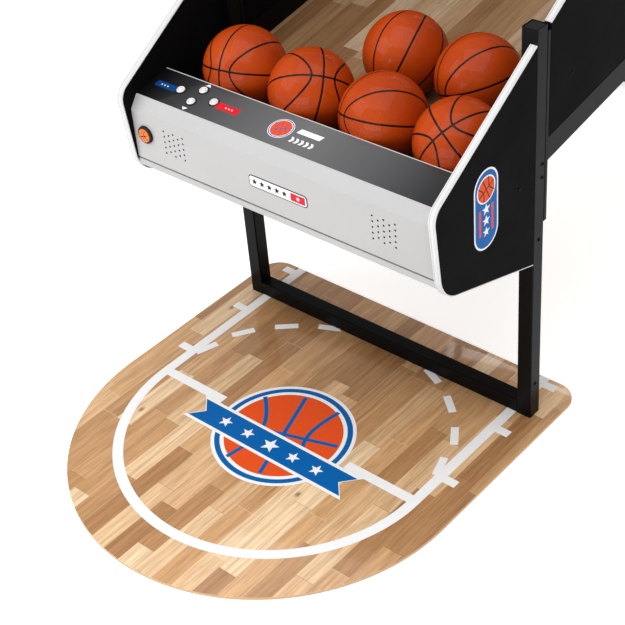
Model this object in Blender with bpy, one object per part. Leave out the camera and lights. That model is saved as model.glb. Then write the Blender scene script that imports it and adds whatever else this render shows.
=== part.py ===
"""Single-hoop basketball machine with a playing-court floor board.

Machine frame: X across the machine (player's right is +X), Y from the player towards the
hoop, Z up. The datum empty sits in the front plane of the front posts, on top of the floor
board; every dimension below is measured from it. The empty is then shifted so that the whole
object stands with the bottom centre of its bounding box on the world origin.
"""
import math

import bmesh
import bpy
from mathutils import Matrix, Vector

# ---- driving dimensions, metres -------------------------------------------------------------
GAP = 0.0003               # air left between neighbouring solids
HALF_W = 0.468             # half the width over the side panels and posts
PANEL_T = 0.018            # side panel and backboard thickness
TUBE = 0.040               # square frame tube
WALL = 0.002               # tube wall
TUBE_R = 0.003             # tube corner radius
TRIM_T = 0.003             # edge moulding, proud of the panel edge

MAT_T = 0.009              # floor board thickness
MAT_HALF_W = 0.517
MAT_BACK_Y = 0.155
MAT_ROUND_Y = -0.430       # centre of the half-round front end
MAT_CORNER_R = 0.060

POST_TOP = 1.057
BRACKET_T = 0.0107         # joining plate behind each front post
BRACKET_LOW = 0.566
PANEL_Y = TUBE + GAP + BRACKET_T + GAP   # front of the side rails and upper side panels

RAMP_SLOPE = 0.162         # rise per metre of the ramp and the side rails
RAIL_TOP_0 = 0.7744        # height of the rails' top line at Y = 0
RAIL_H = 0.0607
RAIL_T = 0.020
RAMP_TOP_0 = 0.7156        # height of the ramp surface at Y = 0
RAMP_T = 0.012
RAMP_FRONT_Y = -0.2070
BEARER_Y = 0.850           # cross tube under the middle of the ramp
TOP_SLOPE = 0.612          # rise per metre of the side panels' sloping top edge
TOP_0 = 1.0235             # height of that edge at Y = 0

REAR_Y = 1.600             # front plane of the rear posts
REAR_TOP = 1.955
REAR_BACK_Y = 1.660        # back of the scoreboard, the rearmost face
KNEE_Y = 0.760             # where the upper panels' top edge turns nearly level
PANEL_REAR_TOP = 1.560

FASCIA_Y = -0.338          # outer face of the fascia
SHEET = 0.002              # folded sheet thickness
FASCIA_LOW = 0.619
LIP_LOW = 0.600
CREASE = (-0.338, 0.751)   # fold between the fascia and its sloping top strip
STRIP_TOP = (-0.315, 0.781)
DECK_BACK = (-0.207, 0.802)   # rear edge of the control panel
DECK_T = 0.003
FLANGE = 0.014             # return flanges of the fascia
LIP_GROOVE = 0.003         # groove between the fascia and the lip below it
LIP_FLANGE = 0.020
TRAY_T = 0.003
TRAY_BACK = (-0.012, 0.498)   # lowest corner of the tray that closes the cabinet below
STOP_T = 0.012             # ball stop behind the control panel
INNER_HALF = HALF_W - PANEL_T - GAP      # half the clear width between side panels

BUTTON_R = 0.0108
BUTTON_BORE_R = 0.0113
BUTTON_SLEEVE_R = 0.0132
BUTTON_HOLE_R = 0.0136
BUTTON_STEM = 0.0100       # depth of a button's stem below the panel's surface
BUTTON_TRAVEL = 0.0025
BUTTON_CENTRE = (-0.300, -0.257)
BUTTON_SPREAD = (0.054, 0.022)
START_POS = (-0.409, 0.694)
START_R = 0.0175
START_BORE_R = 0.0184
START_BARREL_R = 0.0200
START_STEM = 0.0215
START_TRAVEL = 0.004
SWITCH_CLEAR = 0.001       # left between a fully pressed stem and its switch
SPEAKER_X = 0.3145
SPEAKER_Z = 0.6935

BALL_R = 0.1018
BALL_WALL = 0.003
BALL_ROW_Y = -0.1045
BALL_FRONT_X = (-0.286, -0.0775, 0.1345, 0.3425)
BALL_REAR_Y = 0.104
BALL_REAR_X = (0.038, 0.2465)

BOARD_LOW = 1.2003
BOARD_TOP = 1.905
BOARD_BACK_Y = REAR_Y - GAP
BOARD_FRONT_Y = BOARD_BACK_Y - PANEL_T
RIM_Z = 1.545
RIM_R = 0.187              # to the middle of the rim rod
RIM_ROD = 0.008
RIM_Y = 1.315
HOOKS = 12
HOOK_WIRE_R = 0.0018
HOOK_HALF_W = 0.009
HOOK_DROP = 0.014
SHELF_FRONT_Y = 1.470      # front of the rim bracket's shelf
GUSSET_TOE_Y = 1.505
NET_DEPTH = 0.300
NET_TOP_R = 0.176
NET_LOW_R = 0.118
LEVER_Y = 1.548
LEVER_Z = 1.216
LEVER_REACH = 0.205        # from the shaft to the paddle's rear edge
PADDLE_HALF_W = 0.045
PADDLE_L = 0.034
ARM_X = (0.018, 0.026)
SHAFT_R = 0.003
EAR_X = 0.034
EAR_T = 0.003

NET_TUBE_R = 0.011
NET_TUBE_X = 0.4385
NET_TUBE_Z = 1.930
NET_FRONT_Y = 0.930
NET_BEND_R = 0.120

BOARD_BOX_HALF = 0.430     # scoreboard housing half width
BOARD_BOX_LOW = REAR_TOP + 0.0025
BOARD_BOX_TOP = 2.140
BOARD_BOX_T = 0.004
BOX_FRONT_LOW_Y = 1.475    # the housing's open front leans forward
BOX_FRONT_TOP_Y = 1.445
LENS_T = 0.003
MODULE_X = (-0.255, 0.0, 0.255)
INLET_X = 0.330
INLET_Z = 2.030
INLET_HALF = (0.0285, 0.0145)
PIN_PLACES = ((-0.018, 0.0), (-0.011, 0.004), (-0.004, 0.0))
ROCKER_X = INLET_X + 0.0155
ROCKER_Y = REAR_BACK_Y - 0.0040
ROCKER_R = 0.0092
ROCKER_TILT = math.radians(10)


# ---- scene and materials --------------------------------------------------------------------
def clear_scene():
    for obj in list(bpy.data.objects):
        bpy.data.objects.remove(obj, do_unlink=True)


def material(name, colour, roughness, metallic=0.0):
    mat = bpy.data.materials.new(name)
    mat.use_nodes = True
    shader = mat.node_tree.nodes["Principled BSDF"]
    shader.inputs["Base Color"].default_value = (*colour, 1.0)
    shader.inputs["Roughness"].default_value = roughness
    shader.inputs["Metallic"].default_value = metallic
    return mat


clear_scene()
BLACK_STEEL = material("black_powder_coat", (0.012, 0.012, 0.013), 0.30, 0.2)
BLACK_BOARD = material("black_board", (0.010, 0.010, 0.011), 0.42)
WHITE_TRIM = material("white_trim", (0.82, 0.82, 0.82), 0.35)
GREY_FASCIA = material("grey_fascia", (0.66, 0.65, 0.64), 0.40)
DECK_FILM = material("deck_film", (0.06, 0.06, 0.065), 0.25)
COURT_WOOD = material("court_wood", (0.56, 0.39, 0.24), 0.38)
BLACK_PLASTIC = material("black_plastic", (0.015, 0.015, 0.016), 0.35)
WHITE_PLASTIC = material("white_plastic", (0.80, 0.80, 0.80), 0.30)
ORANGE_PLASTIC = material("orange_plastic", (0.85, 0.26, 0.03), 0.25)
BALL_RUBBER = material("ball_rubber", (0.62, 0.16, 0.03), 0.38)
ORANGE_STEEL = material("orange_powder_coat", (0.75, 0.16, 0.02), 0.30, 0.2)
BOARD_FACE = material("board_face", (0.80, 0.80, 0.80), 0.25)
NYLON = material("nylon_cord", (0.80, 0.79, 0.76), 0.70)
BLACK_CORD = material("black_cord", (0.02, 0.02, 0.02), 0.70)
SMOKED_LENS = material("smoked_lens", (0.03, 0.01, 0.01), 0.08)
CIRCUIT = material("circuit_board", (0.02, 0.18, 0.07), 0.50)
BRIGHT_STEEL = material("zinc_steel", (0.55, 0.55, 0.56), 0.30, 0.9)
SPEAKER_CONE = material("speaker_cone", (0.03, 0.03, 0.03), 0.75)

DATUM_Y = -(REAR_BACK_Y + MAT_ROUND_Y - MAT_HALF_W) / 2
datum = bpy.data.objects.new("machine_datum", None)
datum.location = (0.0, DATUM_Y, MAT_T)
bpy.context.scene.collection.objects.link(datum)


# ---- building blocks ------------------------------------------------------------------------
def add_object(name, mesh, mat, location=(0, 0, 0), rotation=(0, 0, 0), smooth=False):
    """Links a mesh as a named object under the datum."""
    obj = bpy.data.objects.new(name, mesh)
    bpy.context.scene.collection.objects.link(obj)
    obj.parent = datum
    obj.location = location
    obj.rotation_euler = rotation
    if not mesh.materials:
        mesh.materials.append(mat)
    if smooth:
        mesh.shade_smooth()
        mesh.set_sharp_from_angle(angle=math.radians(35))
    return obj


def mesh_from(name, bm):
    bmesh.ops.recalc_face_normals(bm, faces=bm.faces)
    mesh = bpy.data.meshes.new(name)
    bm.to_mesh(mesh)
    bm.free()
    return mesh


def bevel(obj, width, segments=2, angle=40):
    mod = obj.modifiers.new("edge_round", "BEVEL")
    mod.width = width
    mod.segments = segments
    mod.limit_method = "ANGLE"
    mod.angle_limit = math.radians(angle)
    return obj


def cut(obj, cutter):
    """Subtracts a cutter object, which stays hidden in the scene."""
    cutter.hide_render = True
    cutter.display_type = "WIRE"
    mod = obj.modifiers.new("cut", "BOOLEAN")
    mod.operation = "DIFFERENCE"
    mod.solver = "EXACT"
    mod.object = cutter
    return obj


def join_solid(obj, other):
    """Unites a helper solid with an object; the helper stays hidden."""
    cut(obj, other).modifiers[-1].operation = "UNION"
    return obj


def add_cube(bm, low, high, matrix=None):
    """Adds a box given by two corners to a bmesh."""
    low = Vector(low)
    high = Vector(high)
    place = Matrix.Translation((low + high) / 2) @ Matrix.Diagonal((*(high - low), 1.0))
    if matrix is not None:
        place = matrix @ place
    return bmesh.ops.create_cube(bm, size=1.0, matrix=place)["verts"]


def box(name, low, high, mat, edge=0.0, segments=2):
    """A box between two corners in the machine frame, with its origin at its middle."""
    low = Vector(low)
    high = Vector(high)
    half = (high - low) / 2
    bm = bmesh.new()
    add_cube(bm, -half, half)
    obj = add_object(name, mesh_from(name, bm), mat, (low + high) / 2)
    return bevel(obj, edge, segments) if edge else obj


def to_3d(axis, a, b, depth):
    """Maps outline coordinates to space: X takes (y, z), Y takes (x, z), Z takes (x, y)."""
    return {"X": (depth, a, b), "Y": (a, depth, b), "Z": (a, b, depth)}[axis]


def prism(name, outline, axis, low, high, mat, edge=0.0, segments=2):
    """Extrudes a flat outline along one axis between two depths."""
    bm = bmesh.new()
    face = bm.faces.new([bm.verts.new(to_3d(axis, a, b, low)) for a, b in outline])
    moved = bmesh.ops.extrude_face_region(bm, geom=[face])["geom"]
    offset = Vector(to_3d(axis, 0.0, 0.0, high - low))
    bmesh.ops.translate(bm, vec=offset, verts=[v for v in moved if isinstance(v, bmesh.types.BMVert)])
    obj = add_object(name, mesh_from(name, bm), mat)
    return bevel(obj, edge, segments) if edge else obj


def arc(centre, radius, start, end, steps):
    """Points on an arc, angles in degrees, both ends included."""
    points = []
    for i in range(steps + 1):
        angle = math.radians(start + (end - start) * i / steps)
        points.append((centre[0] + radius * math.cos(angle), centre[1] + radius * math.sin(angle)))
    return points


def fillet(before, corner, after, radius, steps=6):
    """The arc that rounds a corner between two straight runs."""
    corner = Vector(corner)
    run_in = (Vector(before) - corner).normalized()
    run_out = (Vector(after) - corner).normalized()
    half = run_in.angle(run_out) / 2
    tangent = radius / math.tan(half)
    centre = corner + (run_in + run_out).normalized() * (radius / math.sin(half))
    first = corner + run_in * tangent - centre
    last = corner + run_out * tangent - centre
    turn = first.angle_signed(last)
    points = []
    for i in range(steps + 1):
        angle = -turn * i / steps
        spin = Matrix.Rotation(angle, 2)
        points.append(tuple(centre + spin @ first))
    return points


def inset_corners(corners, distances):
    """Moves each side of a counter-clockwise outline inwards; side i runs from corner i."""
    count = len(corners)
    lines = []
    for i in range(count):
        a = Vector(corners[i])
        b = Vector(corners[(i + 1) % count])
        run = (b - a).normalized()
        inward = Vector((-run.y, run.x))
        lines.append((a + inward * distances[i], run))
    result = []
    for i in range(count):
        p, r = lines[i - 1]
        q, s = lines[i]
        t = (q - p).cross(s) / r.cross(s)
        result.append(tuple(p + r * t))
    return result


def rounded(corners, radii, steps=10):
    """An outline whose corners are rounded wherever their radius isn't zero."""
    points = []
    count = len(corners)
    for i in range(count):
        if radii[i] <= 0:
            points.append(tuple(corners[i]))
        else:
            points += fillet(corners[i - 1], corners[i], corners[(i + 1) % count], radii[i], steps)
    return points


def rectangle(half_a, half_b, radius=0.0, steps=2):
    corners = [(-half_a, -half_b), (half_a, -half_b), (half_a, half_b), (-half_a, half_b)]
    return rounded(corners, [radius] * 4, steps) if radius else corners


def ring_bridge(bm, rings):
    """Closes a hollow section: rings is a list of (outer points, inner points) stations."""
    made = []
    for outer, inner in rings:
        made.append(([bm.verts.new(p) for p in outer], [bm.verts.new(p) for p in inner]))
    count = len(made[0][0])
    for (o1, i1), (o2, i2) in zip(made, made[1:]):
        for k in range(count):
            n = (k + 1) % count
            bm.faces.new((o1[k], o1[n], o2[n], o2[k]))
            bm.faces.new((i1[n], i1[k], i2[k], i2[n]))
    for outer, inner in (made[0], made[-1]):
        for k in range(count):
            n = (k + 1) % count
            bm.faces.new((outer[k], outer[n], inner[n], inner[k]))


def square_tube(name, start, end, mat, half=(TUBE / 2, TUBE / 2), across=(1, 0, 0)):
    """A hollow rectangular tube between two points, open at both ends."""
    start = Vector(start)
    end = Vector(end)
    side = Vector(across)
    up = (end - start).normalized().cross(side)
    outer = rectangle(half[0], half[1], TUBE_R)
    inner = rectangle(half[0] - WALL, half[1] - WALL, TUBE_R - WALL)
    middle = (start + end) / 2
    rings = []
    for point in (start, end):
        base = point - middle
        rings.append(([base + side * a + up * b for a, b in outer],
                      [base + side * a + up * b for a, b in inner]))
    bm = bmesh.new()
    ring_bridge(bm, rings)
    return add_object(name, mesh_from(name, bm), mat, middle)


def lathe(name, profile, steps, mat, closed=True, location=(0, 0, 0), rotation=(0, 0, 0)):
    """Turns a profile of (radius, height) points round local Z."""
    bm = bmesh.new()
    verts = [bm.verts.new((r, 0.0, z)) for r, z in profile]
    edges = [bm.edges.new(pair) for pair in zip(verts, verts[1:])]
    if closed:
        edges.append(bm.edges.new((verts[-1], verts[0])))
    bmesh.ops.spin(bm, geom=verts + edges, cent=(0, 0, 0), axis=(0, 0, 1), dvec=(0, 0, 0),
                   angle=2 * math.pi, steps=steps, use_merge=False, use_duplicate=False)
    bmesh.ops.remove_doubles(bm, verts=bm.verts, dist=0.000005)
    return add_object(name, mesh_from(name, bm), mat, location, rotation, smooth=True)


def add_ring(bm, profile, steps, place):
    """Adds a turned ring with a closed profile of (radius, height) points to a bmesh."""
    rows = []
    for i in range(steps):
        angle = 2 * math.pi * i / steps
        rows.append([bm.verts.new(place @ Vector((r * math.cos(angle), r * math.sin(angle), z)))
                     for r, z in profile])
    count = len(profile)
    for i in range(steps):
        here = rows[i]
        there = rows[(i + 1) % steps]
        for k in range(count):
            n = (k + 1) % count
            bm.faces.new((here[k], here[n], there[n], there[k]))


def add_wire(bm, path, radius, side, sides=6):
    """A round wire along a path of points, closed at both ends; side is square to the path."""
    rows = []
    for i, point in enumerate(path):
        run = (path[min(i + 1, len(path) - 1)] - path[max(i - 1, 0)]).normalized()
        up = run.cross(side).normalized()
        rows.append([bm.verts.new(point + side * radius * math.cos(a) + up * radius * math.sin(a))
                     for a in [2 * math.pi * k / sides for k in range(sides)]])
    for first, second in zip(rows, rows[1:]):
        for k in range(sides):
            n = (k + 1) % sides
            bm.faces.new((first[k], first[n], second[n], second[k]))
    bm.faces.new(rows[0])
    bm.faces.new(rows[-1])


def folded_sheet(run, thickness):
    """Closed outline of a sheet folded along a run of points, its thickness on the run's left."""
    points = [Vector(p) for p in run]
    lefts = []
    for a, b in zip(points, points[1:]):
        along = (b - a).normalized()
        lefts.append(Vector((-along.y, along.x)))
    inner = []
    for i, point in enumerate(points):
        before = lefts[max(i - 1, 0)]
        after = lefts[min(i, len(lefts) - 1)]
        inner.append(point + (before + after) * (thickness / (1.0 + before.dot(after))))
    return [tuple(p) for p in points + inner[::-1]]


def add_cylinder(bm, radius, depth, steps, place):
    """Adds a closed cylinder along the local Z of a placing matrix."""
    bmesh.ops.create_cone(bm, cap_ends=True, segments=steps, radius1=radius, radius2=radius,
                          depth=depth, matrix=place)


def ramp_z(y):
    return RAMP_TOP_0 + RAMP_SLOPE * y


def rail_z(y):
    return RAIL_TOP_0 + RAMP_SLOPE * y


def mirrored(x_low, x_high, side):
    """An X span on the right (side +1), or its mirror on the left (side -1)."""
    return (x_low, x_high) if side > 0 else (-x_high, -x_low)


SIDES = (("left", -1), ("right", 1))


# ---- floor board and frame ------------------------------------------------------------------
def build_floor_mat():
    edge = MAT_HALF_W - MAT_CORNER_R
    outline = arc((edge, MAT_BACK_Y - MAT_CORNER_R), MAT_CORNER_R, 0, 90, 8)
    outline += arc((-edge, MAT_BACK_Y - MAT_CORNER_R), MAT_CORNER_R, 90, 180, 8)
    outline += arc((0.0, MAT_ROUND_Y), MAT_HALF_W, 180, 360, 60)
    prism("floor_mat", outline, "Z", -MAT_T, -GAP, COURT_WOOD, 0.003)


def build_front_frame():
    post_x = HALF_W - TUBE / 2
    for name, side in SIDES:
        square_tube(f"front_post_{name}", (side * post_x, TUBE / 2, 0.0),
                    (side * post_x, TUBE / 2, POST_TOP), BLACK_STEEL)
    reach = HALF_W - TUBE - GAP
    square_tube("front_foot_bar", (-reach, TUBE / 2, TUBE / 2), (reach, TUBE / 2, TUBE / 2),
                BLACK_STEEL, across=(0, 1, 0))
    bar_z = ramp_z(0.0) - RAMP_T - TUBE / 2 - 0.001
    square_tube("front_cross_bar", (-reach, TUBE / 2, bar_z), (reach, TUBE / 2, bar_z),
                BLACK_STEEL, across=(0, 1, 0))


def build_rear_frame():
    post_x = HALF_W - TUBE / 2
    middle_y = REAR_Y + TUBE / 2
    for name, side in SIDES:
        square_tube(f"rear_post_{name}", (side * post_x, middle_y, -MAT_T),
                    (side * post_x, middle_y, REAR_TOP), BLACK_STEEL)
    reach = HALF_W - TUBE - GAP
    foot_z = TUBE / 2 - MAT_T
    square_tube("rear_foot_bar", (-reach, middle_y, foot_z), (reach, middle_y, foot_z),
                BLACK_STEEL, across=(0, 1, 0))
    top_z = REAR_TOP - TUBE / 2 - 0.012
    square_tube("top_cross_bar", (-reach, middle_y, top_z), (reach, middle_y, top_z),
                BLACK_STEEL, across=(0, 1, 0))


def build_tube_caps():
    """Push-in plugs in the open tops of the front posts."""
    half = TUBE / 2 - WALL - GAP
    top = POST_TOP - 0.001
    for name, side in SIDES:
        x = side * (HALF_W - TUBE / 2)
        box(f"post_cap_{name}", (x - half, TUBE / 2 - half, top - 0.012),
            (x + half, TUBE / 2 + half, top), BLACK_PLASTIC, 0.0012, 1)


def build_side_rails():
    """Sloping rectangular tubes, each welded to the upright plate that bolts it to a front post."""
    rear = REAR_Y - GAP
    for name, side in SIDES:
        x_low, x_high = mirrored(HALF_W - RAIL_T, HALF_W, side)
        centre_x = (x_low + x_high) / 2
        half_a = RAIL_T / 2
        half_b = RAIL_H / 2
        outer = rectangle(half_a, half_b, 0.002)
        inner = rectangle(half_a - WALL, half_b - WALL, 0.0008)
        rings = []
        for y in (PANEL_Y - 0.002, rear):
            z = rail_z(y) - half_b
            rings.append(([(centre_x + a, y, z + b) for a, b in outer],
                          [(centre_x + a, y, z + b) for a, b in inner]))
        bm = bmesh.new()
        ring_bridge(bm, rings)
        rail = add_object(f"side_rail_{name}", mesh_from(f"side_rail_{name}", bm), BLACK_STEEL)
        x_low, x_high = mirrored(HALF_W - TUBE, HALF_W - 0.0002, side)
        plate = box(f"rail_plate_{name}", (x_low, TUBE + GAP, BRACKET_LOW),
                    (x_high, TUBE + GAP + BRACKET_T, 1.040), BLACK_STEEL, 0.001, 1)
        join_solid(rail, plate)


def build_ramp():
    rear = BOARD_FRONT_Y - GAP
    outline = [(RAMP_FRONT_Y, ramp_z(RAMP_FRONT_Y) - RAMP_T), (rear, ramp_z(rear) - RAMP_T),
               (rear, ramp_z(rear)), (RAMP_FRONT_Y, ramp_z(RAMP_FRONT_Y))]
    half = HALF_W - RAIL_T - GAP
    ramp = prism("ramp_board", outline, "X", -half, half, COURT_WOOD)
    bm = bmesh.new()
    for side in (-1, 1):
        x_low, x_high = mirrored(HALF_W - TUBE - GAP, HALF_W, side)
        add_cube(bm, (x_low, -0.002, 0.5), (x_high, PANEL_Y, 0.9))
    notch = add_object("ramp_notches", mesh_from("ramp_notches", bm), BLACK_STEEL)
    cut(ramp, notch)
    z = ramp_z(BEARER_Y) - RAMP_T - 0.014
    square_tube("ramp_bearer", (-half, BEARER_Y, z), (half, BEARER_Y, z), BLACK_STEEL,
                half=(0.020, 0.010), across=(0, 1, 0))


# ---- side panels and edge mouldings ---------------------------------------------------------
def lower_corners():
    """Outline of a lower side panel with its moulding, counter-clockwise in (y, z)."""
    back = -GAP
    return [(back, 0.466), (back, TOP_0 + TOP_SLOPE * back), (-0.3638, 0.8004), (-0.3420, 0.5764)]


def upper_corners():
    """Outline of an upper side panel with its moulding, counter-clockwise in (y, z)."""
    rear = REAR_Y - GAP
    knee = (KNEE_Y, TOP_0 + TOP_SLOPE * KNEE_Y)
    return [(PANEL_Y, rail_z(PANEL_Y) + GAP), (rear, rail_z(rear) + GAP), (rear, PANEL_REAR_TOP),
            knee, (PANEL_Y, TOP_0 + TOP_SLOPE * PANEL_Y)]


def build_side_panels():
    low = lower_corners()
    low_radii = [0, 0, 0.0456, 0.0815]
    low_core = inset_corners(low, [0.0, TRIM_T + GAP, TRIM_T + GAP, TRIM_T + GAP])
    low_trim_in = inset_corners(low, [0.0, TRIM_T, TRIM_T, TRIM_T])
    up = upper_corners()
    up_radii = [0, 0, 0, 0.20, 0]
    up_core = inset_corners(up, [0.0, 0.0, TRIM_T + GAP, TRIM_T + GAP, 0.0])
    up_trim_in = inset_corners(up, [0.0, 0.0, TRIM_T, TRIM_T, 0.0])
    for name, side in SIDES:
        x_low, x_high = mirrored(HALF_W - PANEL_T, HALF_W, side)
        core = [max(r - TRIM_T - GAP, 0) if r else 0 for r in low_radii]
        prism(f"lower_side_panel_{name}", rounded(low_core, core), "X", x_low, x_high,
              BLACK_BOARD, 0.0008, 1)
        core = [r - TRIM_T - GAP if r else 0 for r in up_radii]
        prism(f"upper_side_panel_{name}", rounded(up_core, core), "X", x_low, x_high,
              BLACK_BOARD, 0.0008, 1)
        trim_radii = [r - TRIM_T if r else 0 for r in low_radii]
        outer = rounded(low, low_radii)[1:] + [low[0]]
        inner = rounded(low_trim_in, trim_radii)[1:] + [low_trim_in[0]]
        moulding(f"lower_edge_trim_{name}", outer, inner, x_low, x_high)
        trim_radii = [r - TRIM_T if r else 0 for r in up_radii]
        outer = rounded(up, up_radii)[2:]
        inner = rounded(up_trim_in, trim_radii)[2:]
        moulding(f"upper_edge_trim_{name}", outer, inner, x_low, x_high)


def moulding(name, outer, inner, x_low, x_high):
    """A strip between two outlines, its outer face crowned across the panel's thickness."""
    bm = bmesh.new()
    crown = 0.0009
    inset = 0.0025
    stations = []
    for (oy, oz), (iy, iz) in zip(outer, inner):
        away = Vector((oy - iy, oz - iz))
        shoulder = Vector((oy, oz)) - away.normalized() * crown
        section = [(x_low, iy, iz), (x_high, iy, iz), (x_high, *shoulder), (x_high - inset, oy, oz),
                   (x_low + inset, oy, oz), (x_low, *shoulder)]
        stations.append([bm.verts.new(p) for p in section])
    count = len(stations[0])
    for first, second in zip(stations, stations[1:]):
        for k in range(count):
            n = (k + 1) % count
            bm.faces.new((first[k], first[n], second[n], second[k]))
    bm.faces.new(stations[0])
    bm.faces.new(stations[-1])
    add_object(name, mesh_from(name, bm), WHITE_TRIM, smooth=True)


# ---- cabinet front --------------------------------------------------------------------------
def deck_tilt():
    """Angle by which the control panel rises towards the back."""
    return math.atan2(DECK_BACK[1] - STRIP_TOP[1], DECK_BACK[0] - STRIP_TOP[0])


def deck_point(x, y, height=0.0):
    """A point on the control panel's surface, or above it along its normal."""
    tilt = deck_tilt()
    z = STRIP_TOP[1] + (y - STRIP_TOP[0]) * math.tan(tilt)
    return Vector((x, y, z)) + Vector((0.0, -math.sin(tilt), math.cos(tilt))) * height


def button_centres():
    cx, cy = BUTTON_CENTRE
    dx, dy = BUTTON_SPREAD
    return {"select_button": (cx - dx, cy), "up_button": (cx, cy + dy),
            "down_button": (cx, cy - dy), "game_button": (cx + dx, cy)}


def build_control_panel():
    """Panel plate with four button holes, its front edge butting the fascia's top strip."""
    tilt = deck_tilt()
    back = Vector(DECK_BACK)
    front = Vector(STRIP_TOP) + (back - Vector(STRIP_TOP)).normalized() * GAP
    outline = folded_sheet([back, front], DECK_T)
    panel = prism("control_panel", outline, "X", -INNER_HALF, INNER_HALF, DECK_FILM)
    bm = bmesh.new()
    for x, y in button_centres().values():
        place = Matrix.Translation(deck_point(x, y)) @ Matrix.Rotation(tilt, 4, "X")
        add_cylinder(bm, BUTTON_HOLE_R, 0.02, 24, place)
    holes = add_object("panel_holes", mesh_from("panel_holes", bm), BLACK_STEEL)
    cut(panel, holes)


def build_fascia():
    """Folded sheet: top strip cut square to the panel, face with a button hole, return flange."""
    low = (FASCIA_Y, FASCIA_LOW)
    outline = folded_sheet([STRIP_TOP, CREASE, low, (FASCIA_Y + FLANGE, FASCIA_LOW)], SHEET)
    strip = Vector(STRIP_TOP)
    tilt = deck_tilt()
    square_to_panel = Vector((math.sin(tilt), -math.cos(tilt)))
    slant = abs((Vector(CREASE) - strip).normalized().cross(square_to_panel))
    outline[-1] = tuple(strip + square_to_panel * (SHEET / slant))
    fascia = prism("fascia", outline, "X", -INNER_HALF, INNER_HALF, GREY_FASCIA)
    place = Matrix.Translation((START_POS[0], FASCIA_Y, START_POS[1]))
    place = place @ Matrix.Rotation(math.pi / 2, 4, "X")
    bm = bmesh.new()
    add_cylinder(bm, START_BARREL_R + 0.0004, 0.02, 28, place)
    hole = add_object("fascia_hole", mesh_from("fascia_hole", bm), BLACK_STEEL)
    cut(fascia, hole)


def build_lip_and_tray():
    """Lower lip under the fascia, the floor of the cabinet, and the stop behind the controls."""
    top = FASCIA_LOW - LIP_GROOVE
    lip = folded_sheet([(FASCIA_Y + FLANGE, top), (FASCIA_Y, top), (FASCIA_Y, LIP_LOW),
                        (FASCIA_Y + LIP_FLANGE, LIP_LOW)], SHEET)
    prism("fascia_lip", lip, "X", -INNER_HALF, INNER_HALF, GREY_FASCIA)
    wall_top = ramp_z(0.0) - RAMP_T - TUBE - 0.006
    front = (FASCIA_Y + LIP_FLANGE + 0.0015, LIP_LOW)
    tray = folded_sheet([front, TRAY_BACK, (TRAY_BACK[0], wall_top)], TRAY_T)
    prism("cabinet_tray", tray, "X", -INNER_HALF, INNER_HALF, BLACK_STEEL)
    stop_back = RAMP_FRONT_Y - GAP
    stop_front = stop_back - STOP_T
    head = deck_point(0.0, stop_front, -DECK_T - 2 * GAP).z
    box("ball_stop", (-INNER_HALF, stop_front, ramp_z(stop_back) - 0.045),
        (INNER_HALF, stop_back, head), BLACK_BOARD, 0.001, 1)


def build_keypad():
    """Four small caps in one black frame under the panel, and the control board below them."""
    tilt = deck_tilt()
    turn = Matrix.Rotation(tilt, 4, "X")
    skirt = -0.0060
    switch_top = -BUTTON_STEM - BUTTON_TRAVEL - SWITCH_CLEAR
    board_top = switch_top - 0.0055
    cap = [(0.0, 0.0050), (0.0055, 0.0048), (0.0090, 0.0040), (BUTTON_R, 0.0026), (BUTTON_R, skirt),
           (0.0050, skirt), (0.0050, -BUTTON_STEM), (0.0, -BUTTON_STEM)]
    sleeves = bmesh.new()
    bores = bmesh.new()
    switches = bmesh.new()
    for name, (x, y) in button_centres().items():
        place = Matrix.Translation(deck_point(x, y)) @ turn
        lathe(name, cap, 20, WHITE_PLASTIC, closed=False, location=deck_point(x, y),
              rotation=(tilt, 0.0, 0.0))
        add_cylinder(sleeves, BUTTON_SLEEVE_R, 0.0082, 20, place @ Matrix.Translation((0, 0, -0.0024)))
        add_cylinder(bores, BUTTON_BORE_R, 0.0400, 20, place)
        add_cube(switches, (-0.006, -0.006, board_top - 0.0010), (0.006, 0.006, switch_top), place)
    middle = Matrix.Translation(deck_point(*BUTTON_CENTRE)) @ turn
    under = -DECK_T - GAP
    bm = bmesh.new()
    add_cube(bm, (-0.072, -0.0365, under - 0.0025), (0.072, 0.0365, under), middle)
    frame = add_object("keypad_frame", mesh_from("keypad_frame", bm), BLACK_PLASTIC)
    join_solid(frame, add_object("keypad_sleeves", mesh_from("keypad_sleeves", sleeves), BLACK_PLASTIC))
    cut(frame, add_object("keypad_bores", mesh_from("keypad_bores", bores), BLACK_PLASTIC))
    bm = bmesh.new()
    add_cube(bm, (-0.070, -0.0325, board_top - 0.0020), (0.070, 0.0325, board_top), middle)
    board = add_object("control_board", mesh_from("control_board", bm), CIRCUIT)
    join_solid(board, add_object("tact_switches", mesh_from("tact_switches", switches), BLACK_PLASTIC))


def build_start_button():
    """Large cap that slides in a flanged barrel with its switch at the bottom."""
    where = (START_POS[0], FASCIA_Y, START_POS[1])
    upright = (math.pi / 2, 0.0, 0.0)
    floor = -START_STEM - START_TRAVEL - SWITCH_CLEAR - 0.0005
    barrel = [(0.0228, GAP), (0.0228, 0.0050), (0.0208, 0.0078), (START_BORE_R, 0.0078),
              (START_BORE_R, floor), (0.0, floor), (0.0, floor - 0.0020),
              (START_BARREL_R, floor - 0.0020), (START_BARREL_R, GAP)]
    lathe("start_bezel", barrel, 28, BLACK_PLASTIC, location=where, rotation=upright)
    skirt = -0.0140
    cap = [(0.0, 0.0125), (0.0080, 0.0120), (0.0140, 0.0104), (START_R, 0.0080),
           (START_R, skirt), (0.0060, skirt), (0.0060, -START_STEM), (0.0, -START_STEM)]
    lathe("start_button", cap, 24, ORANGE_PLASTIC, closed=False, location=where, rotation=upright)


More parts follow.
